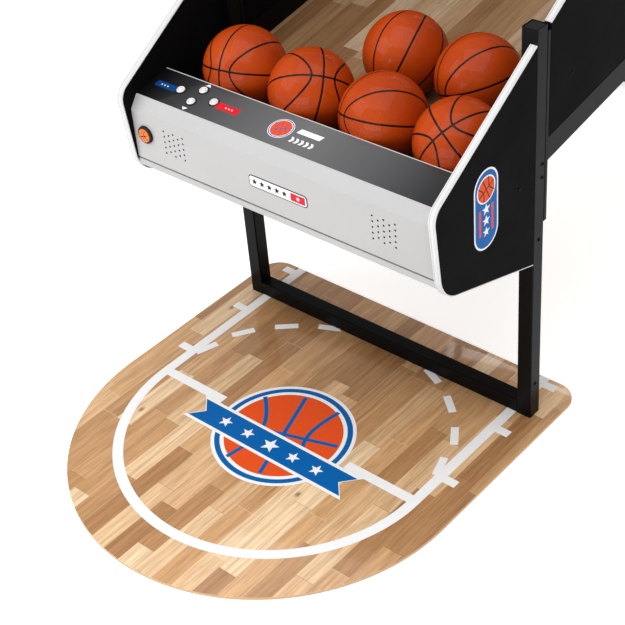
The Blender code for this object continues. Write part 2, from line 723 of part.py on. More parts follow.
def build_speakers():
    """Loudspeakers clamped behind the fascia's two groups of holes."""
    profile = [(0.036, 0.0), (0.036, 0.003), (0.024, 0.016), (0.018, 0.018), (0.018, 0.028),
               (0.0, 0.028), (0.0, 0.014), (0.012, 0.012), (0.031, 0.0)]
    for name, side in SIDES:
        lathe(f"speaker_{name}", profile, 20, SPEAKER_CONE,
              location=(side * SPEAKER_X, FASCIA_Y + SHEET + GAP, SPEAKER_Z),
              rotation=(-math.pi / 2, 0.0, 0.0))


# ---- hoop end -------------------------------------------------------------------------------
def build_backboard():
    half = HALF_W - RAIL_T - 0.001
    box("backboard", (-half, BOARD_FRONT_Y, BOARD_LOW), (half, BOARD_BACK_Y, BOARD_TOP),
        BOARD_FACE, 0.002)
    low = ramp_z(BOARD_FRONT_Y) - RAMP_T
    box("rear_lower_panel", (-half, BOARD_FRONT_Y, low), (half, BOARD_BACK_Y, BOARD_LOW - GAP),
        BLACK_BOARD, 0.001, 1)


def build_rim():
    """Rim rod with the wire hooks of its net welded below it."""
    bm = bmesh.new()
    add_ring(bm, [(RIM_R + RIM_ROD * math.cos(a), RIM_ROD * math.sin(a))
                  for a in [2 * math.pi * k / 8 for k in range(8)]], 40, Matrix.Identity(4))
    rim = add_object("hoop_rim", mesh_from("hoop_rim", bm), ORANGE_STEEL, (0.0, RIM_Y, RIM_Z), smooth=True)
    bm = bmesh.new()
    half_circle = [math.pi * i / 5 for i in range(6)]
    for k in range(HOOKS):
        turn = Matrix.Rotation(2 * math.pi * (k + 0.5) / HOOKS, 4, "Z")
        place = turn @ Matrix.Translation((RIM_R - 0.001, 0.0, -RIM_ROD + 0.001))
        loop = [Vector((0.0, HOOK_HALF_W * math.cos(t), -HOOK_DROP * math.sin(t))) for t in half_circle]
        add_wire(bm, [place @ p for p in loop], HOOK_WIRE_R, turn.to_3x3() @ Vector((1, 0, 0)))
    hooks = add_object("net_hooks", mesh_from("net_hooks", bm), ORANGE_STEEL, (0.0, RIM_Y, RIM_Z))
    join_solid(rim, hooks)


def build_rim_bracket():
    """Plate bolted to the backboard, a shelf that the rim is welded to and a gusset under it."""
    back = BOARD_FRONT_Y - GAP
    shelf = RIM_Z - RIM_ROD - GAP
    bracket = box("rim_bracket", (-0.060, back - 0.004, shelf - 0.120), (0.060, back, shelf + 0.030),
                  ORANGE_STEEL)
    join_solid(bracket, box("bracket_shelf", (-0.036, SHELF_FRONT_Y, shelf - 0.005),
                            (0.036, back - 0.002, shelf), ORANGE_STEEL))
    toe = SHELF_FRONT_Y + 0.004
    outline = [(back - 0.002, shelf - 0.110), (back - 0.002, shelf - 0.002), (toe, shelf - 0.002),
               (toe, shelf - 0.006), (GUSSET_TOE_Y, shelf - 0.012), (back - 0.006, shelf - 0.090),
               (back - 0.006, shelf - 0.110)]
    join_solid(bracket, prism("bracket_gusset", outline, "X", -0.004, 0.004, ORANGE_STEEL))


def net_radius(t):
    """Radius of the hoop net at a fraction t of its depth: it draws in, then hangs straight."""
    return NET_LOW_R + (NET_TOP_R - NET_LOW_R) * (1.0 - t) ** 1.6


def build_hoop_net():
    bm = bmesh.new()
    steps = 6
    outer = [(net_radius(i / steps), -0.026 - (NET_DEPTH - 0.026) * i / steps) for i in range(steps + 1)]
    inner = [(r - 0.004, z) for r, z in reversed(outer)]
    add_ring(bm, outer + inner, 20, Matrix.Identity(4))
    add_object("hoop_net", mesh_from("hoop_net", bm), NYLON, (0.0, RIM_Y, RIM_Z), smooth=True)


def build_lever_bracket():
    """Plate on the backboard with two ears that carry the score lever's shaft."""
    plate_back = BOARD_FRONT_Y - GAP
    half = EAR_X + EAR_T + 0.001
    bracket = box("lever_bracket", (-half, plate_back - 0.003, LEVER_Z - 0.014),
                  (half, plate_back, LEVER_Z + 0.034), BRIGHT_STEEL)
    bm = bmesh.new()
    for _, side in SIDES:
        x_low, x_high = mirrored(EAR_X, EAR_X + EAR_T, side)
        add_cube(bm, (x_low, LEVER_Y - 0.010, LEVER_Z - 0.010), (x_high, plate_back - 0.002, LEVER_Z + 0.012))
    join_solid(bracket, add_object("lever_ears", mesh_from("lever_ears", bm), BRIGHT_STEEL))
    bm = bmesh.new()
    across = Matrix.Translation((0.0, LEVER_Y, LEVER_Z)) @ Matrix.Rotation(math.pi / 2, 4, "Y")
    add_cylinder(bm, SHAFT_R + 0.0001, 0.2, 24, across)
    cut(bracket, add_object("ear_bore", mesh_from("ear_bore", bm), BRIGHT_STEEL))


def build_lever():
    """Score lever below the net, which a falling ball presses down: shaft, two arms and a paddle."""
    where = (0.0, LEVER_Y, LEVER_Z)
    bm = bmesh.new()
    add_cylinder(bm, SHAFT_R, 2 * EAR_X + 0.014, 24, Matrix.Rotation(math.pi / 2, 4, "Y"))
    lever = add_object("score_lever", mesh_from("score_lever", bm), BLACK_PLASTIC, where)
    bm = bmesh.new()
    for _, side in SIDES:
        x_low, x_high = mirrored(*ARM_X, side)
        add_cube(bm, (x_low, -LEVER_REACH, -0.0022), (x_high, 0.0055, 0.0022))
    join_solid(lever, add_object("lever_arms", mesh_from("lever_arms", bm), BLACK_PLASTIC, where))
    rear = -LEVER_REACH + 0.004
    bm = bmesh.new()
    add_cube(bm, (-PADDLE_HALF_W, rear - PADDLE_L, -0.0026), (PADDLE_HALF_W, rear, 0.0026))
    join_solid(lever, add_object("lever_paddle", mesh_from("lever_paddle", bm), BLACK_PLASTIC, where))


# ---- side nets and their frames -------------------------------------------------------------
def panel_top(y):
    """Height of an upper side panel's top edge behind the knee."""
    knee_z = TOP_0 + TOP_SLOPE * KNEE_Y
    return knee_z + (PANEL_REAR_TOP - knee_z) * (y - KNEE_Y) / (REAR_Y - GAP - KNEE_Y)


def net_tube_path():
    """Middle line of a net frame tube in (y, z): up from the panel, round a bend, to the rear."""
    foot = (NET_FRONT_Y, panel_top(NET_FRONT_Y) - 0.140)
    bend = (NET_FRONT_Y + NET_BEND_R, NET_TUBE_Z - NET_BEND_R)
    return [foot] + arc(bend, NET_BEND_R, 180, 90, 8) + [(REAR_Y - GAP, NET_TUBE_Z)]


def build_net_frames():
    sides = 12
    path = [Vector(p) for p in net_tube_path()]
    for name, side in SIDES:
        rings = []
        for i, point in enumerate(path):
            run = (path[min(i + 1, len(path) - 1)] - path[max(i - 1, 0)]).normalized()
            across = Vector((-run.y, run.x))
            ring = []
            for radius in (NET_TUBE_R, NET_TUBE_R - 0.0015):
                points = []
                for k in range(sides):
                    angle = 2 * math.pi * k / sides
                    flat = point + across * (radius * math.sin(angle))
                    points.append((side * (NET_TUBE_X - 0.0003) + radius * math.cos(angle), flat.x, flat.y))
                ring.append(points)
            rings.append(ring)
        bm = bmesh.new()
        ring_bridge(bm, rings)
        add_object(f"net_frame_{name}", mesh_from(f"net_frame_{name}", bm), BLACK_STEEL, smooth=True)


def build_side_nets():
    """Netting between the net frame tube, the panel's top edge and the rear post."""
    clear = NET_TUBE_R + 0.003
    top = NET_TUBE_Z - clear
    front = NET_FRONT_Y + clear
    rear = REAR_Y - 0.024
    bend = (NET_FRONT_Y + NET_BEND_R, NET_TUBE_Z - NET_BEND_R)
    outline = [(front, panel_top(front) - 0.030), (rear, panel_top(rear) - 0.030), (rear, top)]
    outline += arc(bend, NET_BEND_R - clear, 90, 180, 6)
    for name, side in SIDES:
        x_low, x_high = mirrored(NET_TUBE_X - 0.002, NET_TUBE_X + 0.002, side)
        prism(f"side_net_{name}", outline, "X", x_low, x_high, BLACK_CORD)


# ---- scoreboard -----------------------------------------------------------------------------
def build_scoreboard():
    """Box with an open, leaning front, closed by a smoked lens, on top of the rear frame."""
    low = BOARD_BOX_LOW
    top = BOARD_BOX_TOP
    half = BOARD_BOX_HALF
    t = BOARD_BOX_T
    outline = [(BOX_FRONT_LOW_Y, low), (REAR_BACK_Y, low), (REAR_BACK_Y, top), (BOX_FRONT_TOP_Y, top)]
    housing = prism("scoreboard_housing", outline, "X", -half, half, BLACK_PLASTIC)
    before_front = BOX_FRONT_TOP_Y - 0.045
    hollow = [(before_front, low + t), (REAR_BACK_Y - t, low + t), (REAR_BACK_Y - t, top - t),
              (before_front, top - t)]
    cut(housing, prism("housing_hollow", hollow, "X", -half + t, half - t, BLACK_PLASTIC))
    half_x = INLET_HALF[0] + 0.0005
    half_z = INLET_HALF[1] + 0.0005
    cut(housing, box("inlet_window", (INLET_X - half_x, REAR_BACK_Y - 0.02, INLET_Z - half_z),
                     (INLET_X + half_x, REAR_BACK_Y + 0.02, INLET_Z + half_z), BLACK_PLASTIC))
    foot = Vector((BOX_FRONT_LOW_Y, low))
    lean = Vector((BOX_FRONT_TOP_Y, top)) - foot
    margin = t + 4 * GAP
    recess = Vector((0.005, 0.0))
    base = foot + lean.normalized() * margin + recess
    crown = foot + lean * (1.0 - margin / lean.y) + recess
    lens = [tuple(base), (base.x + LENS_T, base.y), (crown.x + LENS_T, crown.y), tuple(crown)]
    prism("scoreboard_lens", lens, "X", -half + t + GAP, half - t - GAP, SMOKED_LENS)


def build_display():
    """Display board behind the lens, with three digit modules soldered to it."""
    low = BOARD_BOX_LOW
    lean_angle = math.atan2(BOX_FRONT_LOW_Y - BOX_FRONT_TOP_Y, BOARD_BOX_TOP - low)
    middle = Matrix.Translation((0.0, BOX_FRONT_LOW_Y + 0.003, (low + BOARD_BOX_TOP) / 2))
    middle = middle @ Matrix.Rotation(lean_angle, 4, "X")
    bm = bmesh.new()
    add_cube(bm, (-0.360, 0.015, -0.060), (0.360, 0.017, 0.060), middle)
    board = add_object("display_board", mesh_from("display_board", bm), CIRCUIT)
    bm = bmesh.new()
    for x in MODULE_X:
        add_cube(bm, (x - 0.085, 0.0, -0.055), (x + 0.085, 0.016, 0.055), middle)
    join_solid(board, add_object("display_modules", mesh_from("display_modules", bm), BLACK_PLASTIC))


def build_power_inlet():
    """Mains inlet with three pins, in one body with the frame of the rocker switch."""
    half_x, half_z = INLET_HALF
    inlet = box("power_inlet", (INLET_X - half_x, REAR_BACK_Y - BOARD_BOX_T - 0.022, INLET_Z - half_z),
                (INLET_X + half_x, REAR_BACK_Y - GAP, INLET_Z + half_z), BLACK_PLASTIC)
    bm = bmesh.new()
    outside = REAR_BACK_Y + 0.01
    low_z = INLET_Z - 0.010
    top_z = INLET_Z + 0.010
    add_cube(bm, (INLET_X - 0.024, REAR_BACK_Y - 0.018, low_z), (INLET_X + 0.002, outside, top_z))
    add_cube(bm, (ROCKER_X - 0.007, REAR_BACK_Y - 0.016, low_z), (ROCKER_X + 0.007, outside, top_z))
    cut(inlet, add_object("inlet_pockets", mesh_from("inlet_pockets", bm), BLACK_PLASTIC))
    bm = bmesh.new()
    for dx, dz in PIN_PLACES:
        add_cube(bm, (INLET_X + dx - 0.002, REAR_BACK_Y - 0.020, INLET_Z + dz - 0.001),
                 (INLET_X + dx + 0.002, REAR_BACK_Y - 0.004, INLET_Z + dz + 0.001))
    join_solid(inlet, add_object("inlet_pins", mesh_from("inlet_pins", bm), BRIGHT_STEEL))


def build_power_rocker():
    """Rocker with a round back that turns in its pocket and a shallow V face, tipped one way at rest."""
    corner = 75
    outline = arc((0.0, 0.0), ROCKER_R, corner, 360 - corner, 14) + [(0.0010, 0.0)]
    rocker = prism("power_rocker", outline, "X", -0.0066, 0.0066, BLACK_PLASTIC)
    rocker.location = (ROCKER_X, ROCKER_Y, INLET_Z)
    rocker.rotation_euler.x = -ROCKER_TILT


# ---- balls ---------------------------------------------------------------------------------
def ball_profile():
    """Half section of a hollow ball: outer and inner sphere joined at a small valve hole on top."""
    rows = 10
    hole = 0.001
    profile = [(BALL_R * math.sin(a), -BALL_R * math.cos(a)) for a in
               [math.pi * i / rows for i in range(rows)]]
    inner_r = BALL_R - BALL_WALL
    inner_rows = 5
    profile += [(hole, BALL_R), (hole, inner_r)]
    profile += [(inner_r * math.sin(a), inner_r * math.cos(a)) for a in
                [math.pi * i / inner_rows for i in range(1, inner_rows + 1)]]
    return profile


def build_balls():
    """Six balls at rest on the ramp: a row of four against the stop and two behind them."""
    lift = math.sqrt(1 + RAMP_SLOPE ** 2) * (BALL_R + GAP)
    places = [(x, BALL_ROW_Y) for x in BALL_FRONT_X] + [(x, BALL_REAR_Y) for x in BALL_REAR_X]
    first = None
    for i, (x, y) in enumerate(places, start=1):
        where = (x, y, ramp_z(y) + lift)
        if first is None:
            first = lathe("ball_1", ball_profile(), 20, BALL_RUBBER, closed=False, location=where)
        else:
            add_object(f"ball_{i}", first.data, BALL_RUBBER, where)


build_floor_mat()
build_front_frame()
build_rear_frame()
build_tube_caps()
build_side_rails()
build_ramp()
build_side_panels()
build_control_panel()
build_fascia()
build_lip_and_tray()
build_keypad()
build_start_button()
build_speakers()
build_backboard()
build_rim()
build_rim_bracket()
build_hoop_net()
build_lever_bracket()
build_lever()
build_net_frames()
build_side_nets()
build_scoreboard()
build_display()
build_power_inlet()
build_power_rocker()
build_balls()
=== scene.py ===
"""Looks of the single-hoop basketball machine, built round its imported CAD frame.

Everything is in the frame of the CAD model, in metres. Most places are given in the machine's own
coordinates, measured from the front plane of the front posts and the top of the floor board, and
at() turns them into places in the frame.
"""
import math

import bmesh
import bpy
import numpy as np
from mathutils import Matrix, Vector


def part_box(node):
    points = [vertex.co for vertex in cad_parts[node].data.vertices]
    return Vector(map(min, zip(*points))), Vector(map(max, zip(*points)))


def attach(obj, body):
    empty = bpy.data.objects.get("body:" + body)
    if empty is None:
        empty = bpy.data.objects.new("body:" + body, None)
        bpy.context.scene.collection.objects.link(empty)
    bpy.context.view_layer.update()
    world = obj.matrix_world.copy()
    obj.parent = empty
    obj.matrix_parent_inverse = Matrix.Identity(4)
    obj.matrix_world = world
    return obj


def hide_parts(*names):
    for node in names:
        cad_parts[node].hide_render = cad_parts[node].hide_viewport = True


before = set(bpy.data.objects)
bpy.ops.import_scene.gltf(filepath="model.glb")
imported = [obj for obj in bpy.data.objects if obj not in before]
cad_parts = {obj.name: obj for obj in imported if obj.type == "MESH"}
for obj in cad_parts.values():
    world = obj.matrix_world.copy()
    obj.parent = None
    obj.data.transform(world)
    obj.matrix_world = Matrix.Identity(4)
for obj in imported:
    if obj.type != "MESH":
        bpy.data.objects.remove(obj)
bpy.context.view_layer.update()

# ---- sizes, metres ---------------------------------------------------------------------------
DATUM = Vector((0.0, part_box("front_post_left")[0].y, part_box("front_post_left")[0].z))
HALF_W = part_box("front_post_right")[1].x      # half the width over the posts and panels
PANEL_T = 0.018
TRIM_T = 0.003
GAP = 0.0003
FILM_T = 0.00012                              # printed film, and its step from layer to layer

BOARD_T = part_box("floor_mat")[1].z
BOARD_HALF_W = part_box("floor_mat")[1].x
BOARD_BACK_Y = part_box("floor_mat")[1].y - DATUM.y
BOARD_ROUND_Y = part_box("floor_mat")[0].y - DATUM.y + BOARD_HALF_W
BOARD_CORNER_R = 0.060
STAVE_W = 0.0517

TOP_0, TOP_SLOPE = 1.0235, 0.612              # side panels' sloping top edge, up to the knee
KNEE_Y = 0.760
KNEE_Z = TOP_0 + TOP_SLOPE * KNEE_Y
REAR_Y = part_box("rear_post_left")[0].y - DATUM.y
PANEL_REAR_TOP = 1.560
PANEL_INNER_X = HALF_W - PANEL_T
LOW_CORNERS = ((-GAP, 0.466), (-0.3420, 0.5764), (-0.3638, 0.8004), (-GAP, TOP_0 - TOP_SLOPE * GAP))
LOW_RADII = (0.0, 0.0815, 0.0456, 0.0)

FASCIA_Y = -0.338
SHEET = 0.002
FASCIA_LOW = 0.619
FLANGE = 0.014
CREASE = (-0.338, 0.751)
STRIP_TOP = (-0.315, 0.781)
DECK_BACK = (-0.207, 0.802)
START_X, START_Z = -0.409, 0.694
SPEAKER_X, SPEAKER_Z = 0.3145, 0.6935
TILT = math.atan2(DECK_BACK[1] - STRIP_TOP[1], DECK_BACK[0] - STRIP_TOP[0])

RIM_Y, RIM_Z, RIM_R, RIM_ROD = 1.315, 1.545, 0.187, 0.008
TIES, NET_ROWS = 12, 6
NET_DEPTH, NET_TOP_R, NET_LOW_R = 0.300, 0.172, 0.114
NET_TUBE_R, NET_TUBE_X, NET_TUBE_Z = 0.011, 0.4382, 1.930
NET_FRONT_Y, NET_BEND_R = 0.930, 0.120
NET_BEND = (NET_FRONT_Y + NET_BEND_R, NET_TUBE_Z - NET_BEND_R)
NET_X = 0.4385
NET_EDGE_DROP = 0.026                         # border rope below the panel's top edge

# how each ball came to rest: its turns about X, Y and Z in degrees
BALL_TURNS = ((22, 3, -174), (133, 19, 48), (15, 16, 145), (55, 36, -131), (-133, 26, 24), (-9, 19, 151))

SIDES = (("left", -1), ("right", 1))


# ---- places ----------------------------------------------------------------------------------
def at(x, y, z):
    """A place given in the machine's own coordinates."""
    return DATUM + Vector((x, y, z))


def turn(degrees, axis):
    return Matrix.Rotation(math.radians(degrees), 4, axis)


def stand(place, facing):
    """A matrix that puts something at a place and turns it."""
    return Matrix.Translation(place) @ facing


# turns that point local Z at the player, at the wall behind, and outwards at the left and right
TO_FRONT = turn(90, "X")
TO_REAR = turn(-90, "X")
TO_SIDE = {-1: turn(-90, "Y"), 1: turn(90, "Y")}
# an outline in (y, z), with its depth along x
ALONG_X = stand(DATUM, Matrix(((0, 0, 1), (1, 0, 0), (0, 1, 0))).to_4x4())


# ---- mesh tools ------------------------------------------------------------------------------
def add_object(name, data):
    obj = bpy.data.objects.new(name, data)
    bpy.context.scene.collection.objects.link(obj)
    return obj


def to_mesh(name, bm):
    """Makes a bmesh into a mesh, its faces turned outwards."""
    bmesh.ops.recalc_face_normals(bm, faces=bm.faces)
    mesh = bpy.data.meshes.new(name)
    bm.to_mesh(mesh)
    bm.free()
    return mesh


def smooth(mesh):
    mesh.shade_smooth()
    mesh.set_sharp_from_angle(angle=math.radians(32))


def fit(obj, body, stands_for=None):
    """Lets a piece ride on a body and, where one is named, stand for a CAD node."""
    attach(obj, body)
    if stands_for:
        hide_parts(stands_for)


def piece(name, bm, *looks, body="cabinet", stands_for=None, slot=None, flat=False, matrix=None):
    """Makes a bmesh into a piece of the object."""
    obj = add_object(name, to_mesh(name, bm))
    for look in looks:
        obj.data.materials.append(look)
    if not flat:
        smooth(obj.data)
    if matrix is not None:
        obj.matrix_world = matrix
    fit(obj, body, stands_for)
    return obj


def arc(centre, radius, start, end, steps):
    """Points on an arc, angles in degrees, both ends included."""
    angles = [math.radians(start + (end - start) * i / steps) for i in range(steps + 1)]
    return [(centre[0] + radius * math.cos(a), centre[1] + radius * math.sin(a)) for a in angles]


def circle(centre, radius, steps=64):
    return arc(centre, radius, 0, 360, steps)[:-1]


def round_path(points, radii, steps):
    """An open run of points whose inner corners are rounded wherever their radius isn't zero."""
    made = []
    for i, (point, radius) in enumerate(zip(points, radii)):
        corner = Vector(point)
        if radius <= 0:
            made.append(corner)
            continue
        run_in = (Vector(points[i - 1]) - corner).normalized()
        run_out = (Vector(points[i + 1]) - corner).normalized()
        half = run_in.angle(run_out) / 2
        centre = corner + (run_in + run_out).normalized() * (radius / math.sin(half))
        first = corner + run_in * (radius / math.tan(half)) - centre
        last = corner + run_out * (radius / math.tan(half)) - centre
        sweep = -first.angle_signed(last)
        made += [centre + Matrix.Rotation(sweep * k / steps, 2) @ first for k in range(steps + 1)]
    return made


def offset_path(points, distance):
    """An open run of points moved to its left, with mitred corners."""
    lefts = []
    for a, b in zip(points, points[1:]):
        along = (Vector(b) - Vector(a)).normalized()
        lefts.append(Vector((-along.y, along.x)))
    made = []
    for i, point in enumerate(points):
        before = lefts[max(i - 1, 0)]
        after = lefts[min(i, len(lefts) - 1)]
        made.append(Vector(point) + (before + after) * (distance / (1.0 + before.dot(after))))
    return made


def skin(bm, rings, caps=False):
    """Joins rings of vertices with quads."""
    for first, second in zip(rings, rings[1:]):
        for k in range(len(first)):
            n = (k + 1) % len(first)
            bm.faces.new((first[k], first[n], second[n], second[k]))
    if caps:
        bm.faces.new(rings[0])
        bm.faces.new(rings[-1])


def prism(bm, outline, place, low, high):
    """Adds an outline extruded between two depths along a placing matrix's Z."""
    rings = [[bm.verts.new(place @ Vector((a, b, depth))) for a, b in outline] for depth in (low, high)]
    skin(bm, rings, caps=True)


def turned(bm, profile, steps=48, place=Matrix.Identity(4)):
    """Adds a solid turned round local Z from (radius, height) points that start and end on the axis."""
    low, high = [bm.verts.new(place @ Vector((0.0, 0.0, end[1]))) for end in (profile[0], profile[-1])]
    rings = [[bm.verts.new(place @ Vector((x, y, height))) for x, y in circle((0.0, 0.0), radius, steps)]
             for radius, height in profile[1:-1]]
    skin(bm, rings)
    for k in range(steps):
        n = (k + 1) % steps
        bm.faces.new((low, rings[0][k], rings[0][n]))
        bm.faces.new((high, rings[-1][n], rings[-1][k]))


def cord(bm, path, radius, sides=6, looped=False):
    """Adds a round tube along a path of points, its cross-section carried along without twist."""
    path = [Vector(p) for p in path]
    count = len(path)
    section = circle((0.0, 0.0), radius, sides)
    rings = []
    side = None
    for i, point in enumerate(path):
        before = path[i - 1] if looped or i else path[0]
        after = path[(i + 1) % count] if looped else path[min(i + 1, count - 1)]
        run = (after - before).normalized()
        side = side or run.orthogonal().normalized()
        side = (side - run * side.dot(run)).normalized()
        up = run.cross(side)
        rings.append([bm.verts.new(point + side * a + up * b) for a, b in section])
    skin(bm, rings, caps=not looped)
    if looped:
        # the last ring meets the nearest vertices of the first
        first, last = rings[0], rings[-1]
        shift = min(range(sides), key=lambda s: (first[s].co - last[0].co).length)
        skin(bm, [last, first[shift:] + first[:shift]])


def blob(bm, centre, radii, steps=8, rows=5):
    """Adds a small rounded knot."""
    turned(bm, arc((0.0, 0.0), 1.0, -90, 90, rows), steps, stand(centre, Matrix.Diagonal((*radii, 1.0))))


def ribbon(path, width, looped=False):
    """A flat strip along a run of points, as quads."""
    run = [path[-1], *path, path[0], path[1]] if looped else path
    left = offset_path(run, width / 2)
    right = offset_path(run, -width / 2)
    if looped:
        left, right = left[1:-1], right[1:-1]
    return [(right[i], right[i + 1], left[i + 1], left[i]) for i in range(len(left) - 1)]


def film(name, polygons, place, look, level=0, body="cabinet", drape=None):
    """Printed film: flat polygons in a placing matrix's plane, raised by their level in the stack."""
    bm = bmesh.new()
    for polygon in polygons:
        bm.faces.new([bm.verts.new((p[0], p[1], 0.0)) for p in polygon])
    bmesh.ops.remove_doubles(bm, verts=bm.verts, dist=0.000002)
    grown = bmesh.ops.extrude_face_region(bm, geom=bm.faces[:])["geom"]
    top = [v for v in grown if isinstance(v, bmesh.types.BMVert)]
    bmesh.ops.translate(bm, vec=(0.0, 0.0, FILM_T), verts=top)
    for vert in bm.verts:
        vert.co.z += FILM_T * (level + 0.4) + (drape(vert.co.x, vert.co.y) if drape else 0.0)
    bmesh.ops.transform(bm, matrix=place, verts=bm.verts)
    return piece(name, bm, look, body=body, flat=True)


def rect(x0, y0, x1, y1):
    low_x, high_x = min(x0, x1), max(x0, x1)
    return [(low_x, y0), (high_x, y0), (high_x, y1), (low_x, y1)]


def star(centre, radius):
    tips = arc(centre, radius, 90, 450, 5)
    notches = arc(centre, radius * 0.42, 126, 486, 5)
    return [point for both in zip(tips[:5], notches) for point in both]


def pill(centre, half_a, half_b, radius, steps=8):
    """A rounded rectangle."""
    a, b = half_a - radius, half_b - radius
    made = []
    for start, side_a, side_b in ((-90, 1, -1), (0, 1, 1), (90, -1, 1), (180, -1, -1)):
        corner = (centre[0] + side_a * a, centre[1] + side_b * b)
        made += arc(corner, radius, start, start + 90, steps)
    return made


def ball_seams(centre, radius, width, spin):
    """Seam lines of a generic ball drawing: a cross and two bowed lines, inside a circle."""
    turned_by = Matrix.Rotation(math.radians(spin), 2)
    runs = [[(-0.97, 0.0), (0.97, 0.0)], [(0.0, -0.97), (0.0, 0.97)]]
    bowed = [k / 10 for k in range(-10, 11)]
    for side in (-1, 1):
        runs.append([(side * math.sqrt(0.16 + 0.62 * (t * 0.70) ** 2), t * 0.78) for t in bowed])
    return [ribbon([Vector(centre) + turned_by @ (Vector(p) * radius) for p in run], width) for run in runs]


# ---- material tools --------------------------------------------------------------------------
def srgb(red, green, blue):
    """A colour given in display values from 0 to 255, as linear light."""
    shares = [value / 255.0 for value in (red, green, blue)]
    return (*[s / 12.92 if s <= 0.04045 else ((s + 0.055) / 1.055) ** 2.4 for s in shares], 1.0)


def shade(colour, share):
    """A colour made darker or lighter."""
    return (*[min(c * share, 1.0) for c in colour[:3]], 1.0)


class Look:
    """A Principled material and short calls for the nodes that feed it."""

    def __init__(self, name, colour, roughness, **constants):
        self.mat = bpy.data.materials.new(name)
        self.mat.use_nodes = True
        self.tree = self.mat.node_tree
        self.shader = self.tree.nodes["Principled BSDF"]
        self.feed_all(self.shader, Base_Color=colour, Roughness=roughness, **constants)
        self.where = self.node("TexCoord").outputs["Object"]

    def feed(self, socket, value):
        """Links a socket to another node's output, or sets it to a number or colour."""
        if isinstance(value, bpy.types.NodeSocket):
            self.tree.links.new(value, socket)
        else:
            socket.default_value = value

    def feed_all(self, node, **inputs):
        for key, value in inputs.items():
            self.feed(node.inputs[key.replace("_", " ")], value)

    def node(self, kind, settings=None, **inputs):
        made = self.tree.nodes.new("ShaderNode" + kind)
        for key, value in (settings or {}).items():
            setattr(made, key, value)
        self.feed_all(made, **inputs)
        return made

    def axes(self):
        return self.node("SeparateXYZ", Vector=self.where).outputs

    def math(self, operation, a, b=0.0):
        made = self.node("Math", {"operation": operation})
        self.feed(made.inputs[0], a)
        self.feed(made.inputs[1], b)
        return made.outputs[0]

    def times(self, a, b):
        return self.math("MULTIPLY", a, b)

    def stretched(self, *scale):
        return self.node("Mapping", Vector=self.where, Scale=scale).outputs[0]

    def noise(self, scale, detail=3.0, where=None, distortion=0.0):
        return self.node("TexNoise", Vector=where or self.where, Scale=scale, Detail=detail,
                         Distortion=distortion).outputs["Fac"]

    def cells(self, scale, where=None, dimensions="3D"):
        return self.node("TexVoronoi", {"voronoi_dimensions": dimensions}, Vector=where or self.where,
                         Scale=scale).outputs["Distance"]

    def wave(self, settings, where=None, **inputs):
        return self.node("TexWave", settings, Vector=where or self.where, **inputs).outputs["Fac"]

    def span(self, value, low, high, to_low=0.0, to_high=1.0):
        return self.node("MapRange", Value=value, From_Min=low, From_Max=high, To_Min=to_low,
                         To_Max=to_high).outputs["Result"]

    def blend(self, factor, a, b, mode="MIX"):
        made = self.node("Mix", {"data_type": "RGBA", "blend_type": mode}, Factor=factor)
        self.feed(made.inputs[6], a)
        self.feed(made.inputs[7], b)
        return made.outputs[2]

    def mottle(self, pattern, a, b, low=0.3, high=0.7):
        """Two colours blended where a pattern runs from low to high."""
        return self.blend(self.span(pattern, low, high), a, b)

    def tones(self, factor, stops, mode="LINEAR"):
        made = self.node("ValToRGB", Fac=factor)
        made.color_ramp.interpolation = mode
        ramp = made.color_ramp.elements
        while len(ramp) < len(stops):
            ramp.new(0.5)
        for element, (place, colour) in zip(ramp, stops):
            element.position = place
            element.color = colour
        return made.outputs["Color"]

    def finish(self, colour, gloss, low, high, height, depth):
        """Feeds a colour, a roughness that follows gloss from low to high, and a relief, in metres."""
        relief = self.node("Bump", Strength=1.0, Distance=depth, Height=height).outputs["Normal"]
        self.feed_all(self.shader, Base_Color=colour, Roughness=self.span(gloss, 0.3, 0.7, low, high),
                      Normal=relief)
        return self.mat


def paint(name, colour, rough_low, rough_high, grain=650.0, depth=0.00005, mottle=0.12, **constants):
    """Painted or powder-coated metal: orange-peel relief, cloudy gloss and a little soiling."""
    look = Look(name, colour, rough_low, **constants)
    tone = look.mottle(look.noise(5.0, 5.0), shade(colour, 1.0 - mottle), shade(colour, 1.0 + mottle))
    return look.finish(tone, look.noise(14.0, 6.0), rough_low, rough_high, look.noise(grain, 2.0), depth)


def plastic(name, colour, rough_low, rough_high, **constants):
    """Moulded plastic: very fine spark-eroded texture and faint handling marks."""
    return paint(name, colour, rough_low, rough_high, 1400.0, 0.00002, 0.05, **constants)


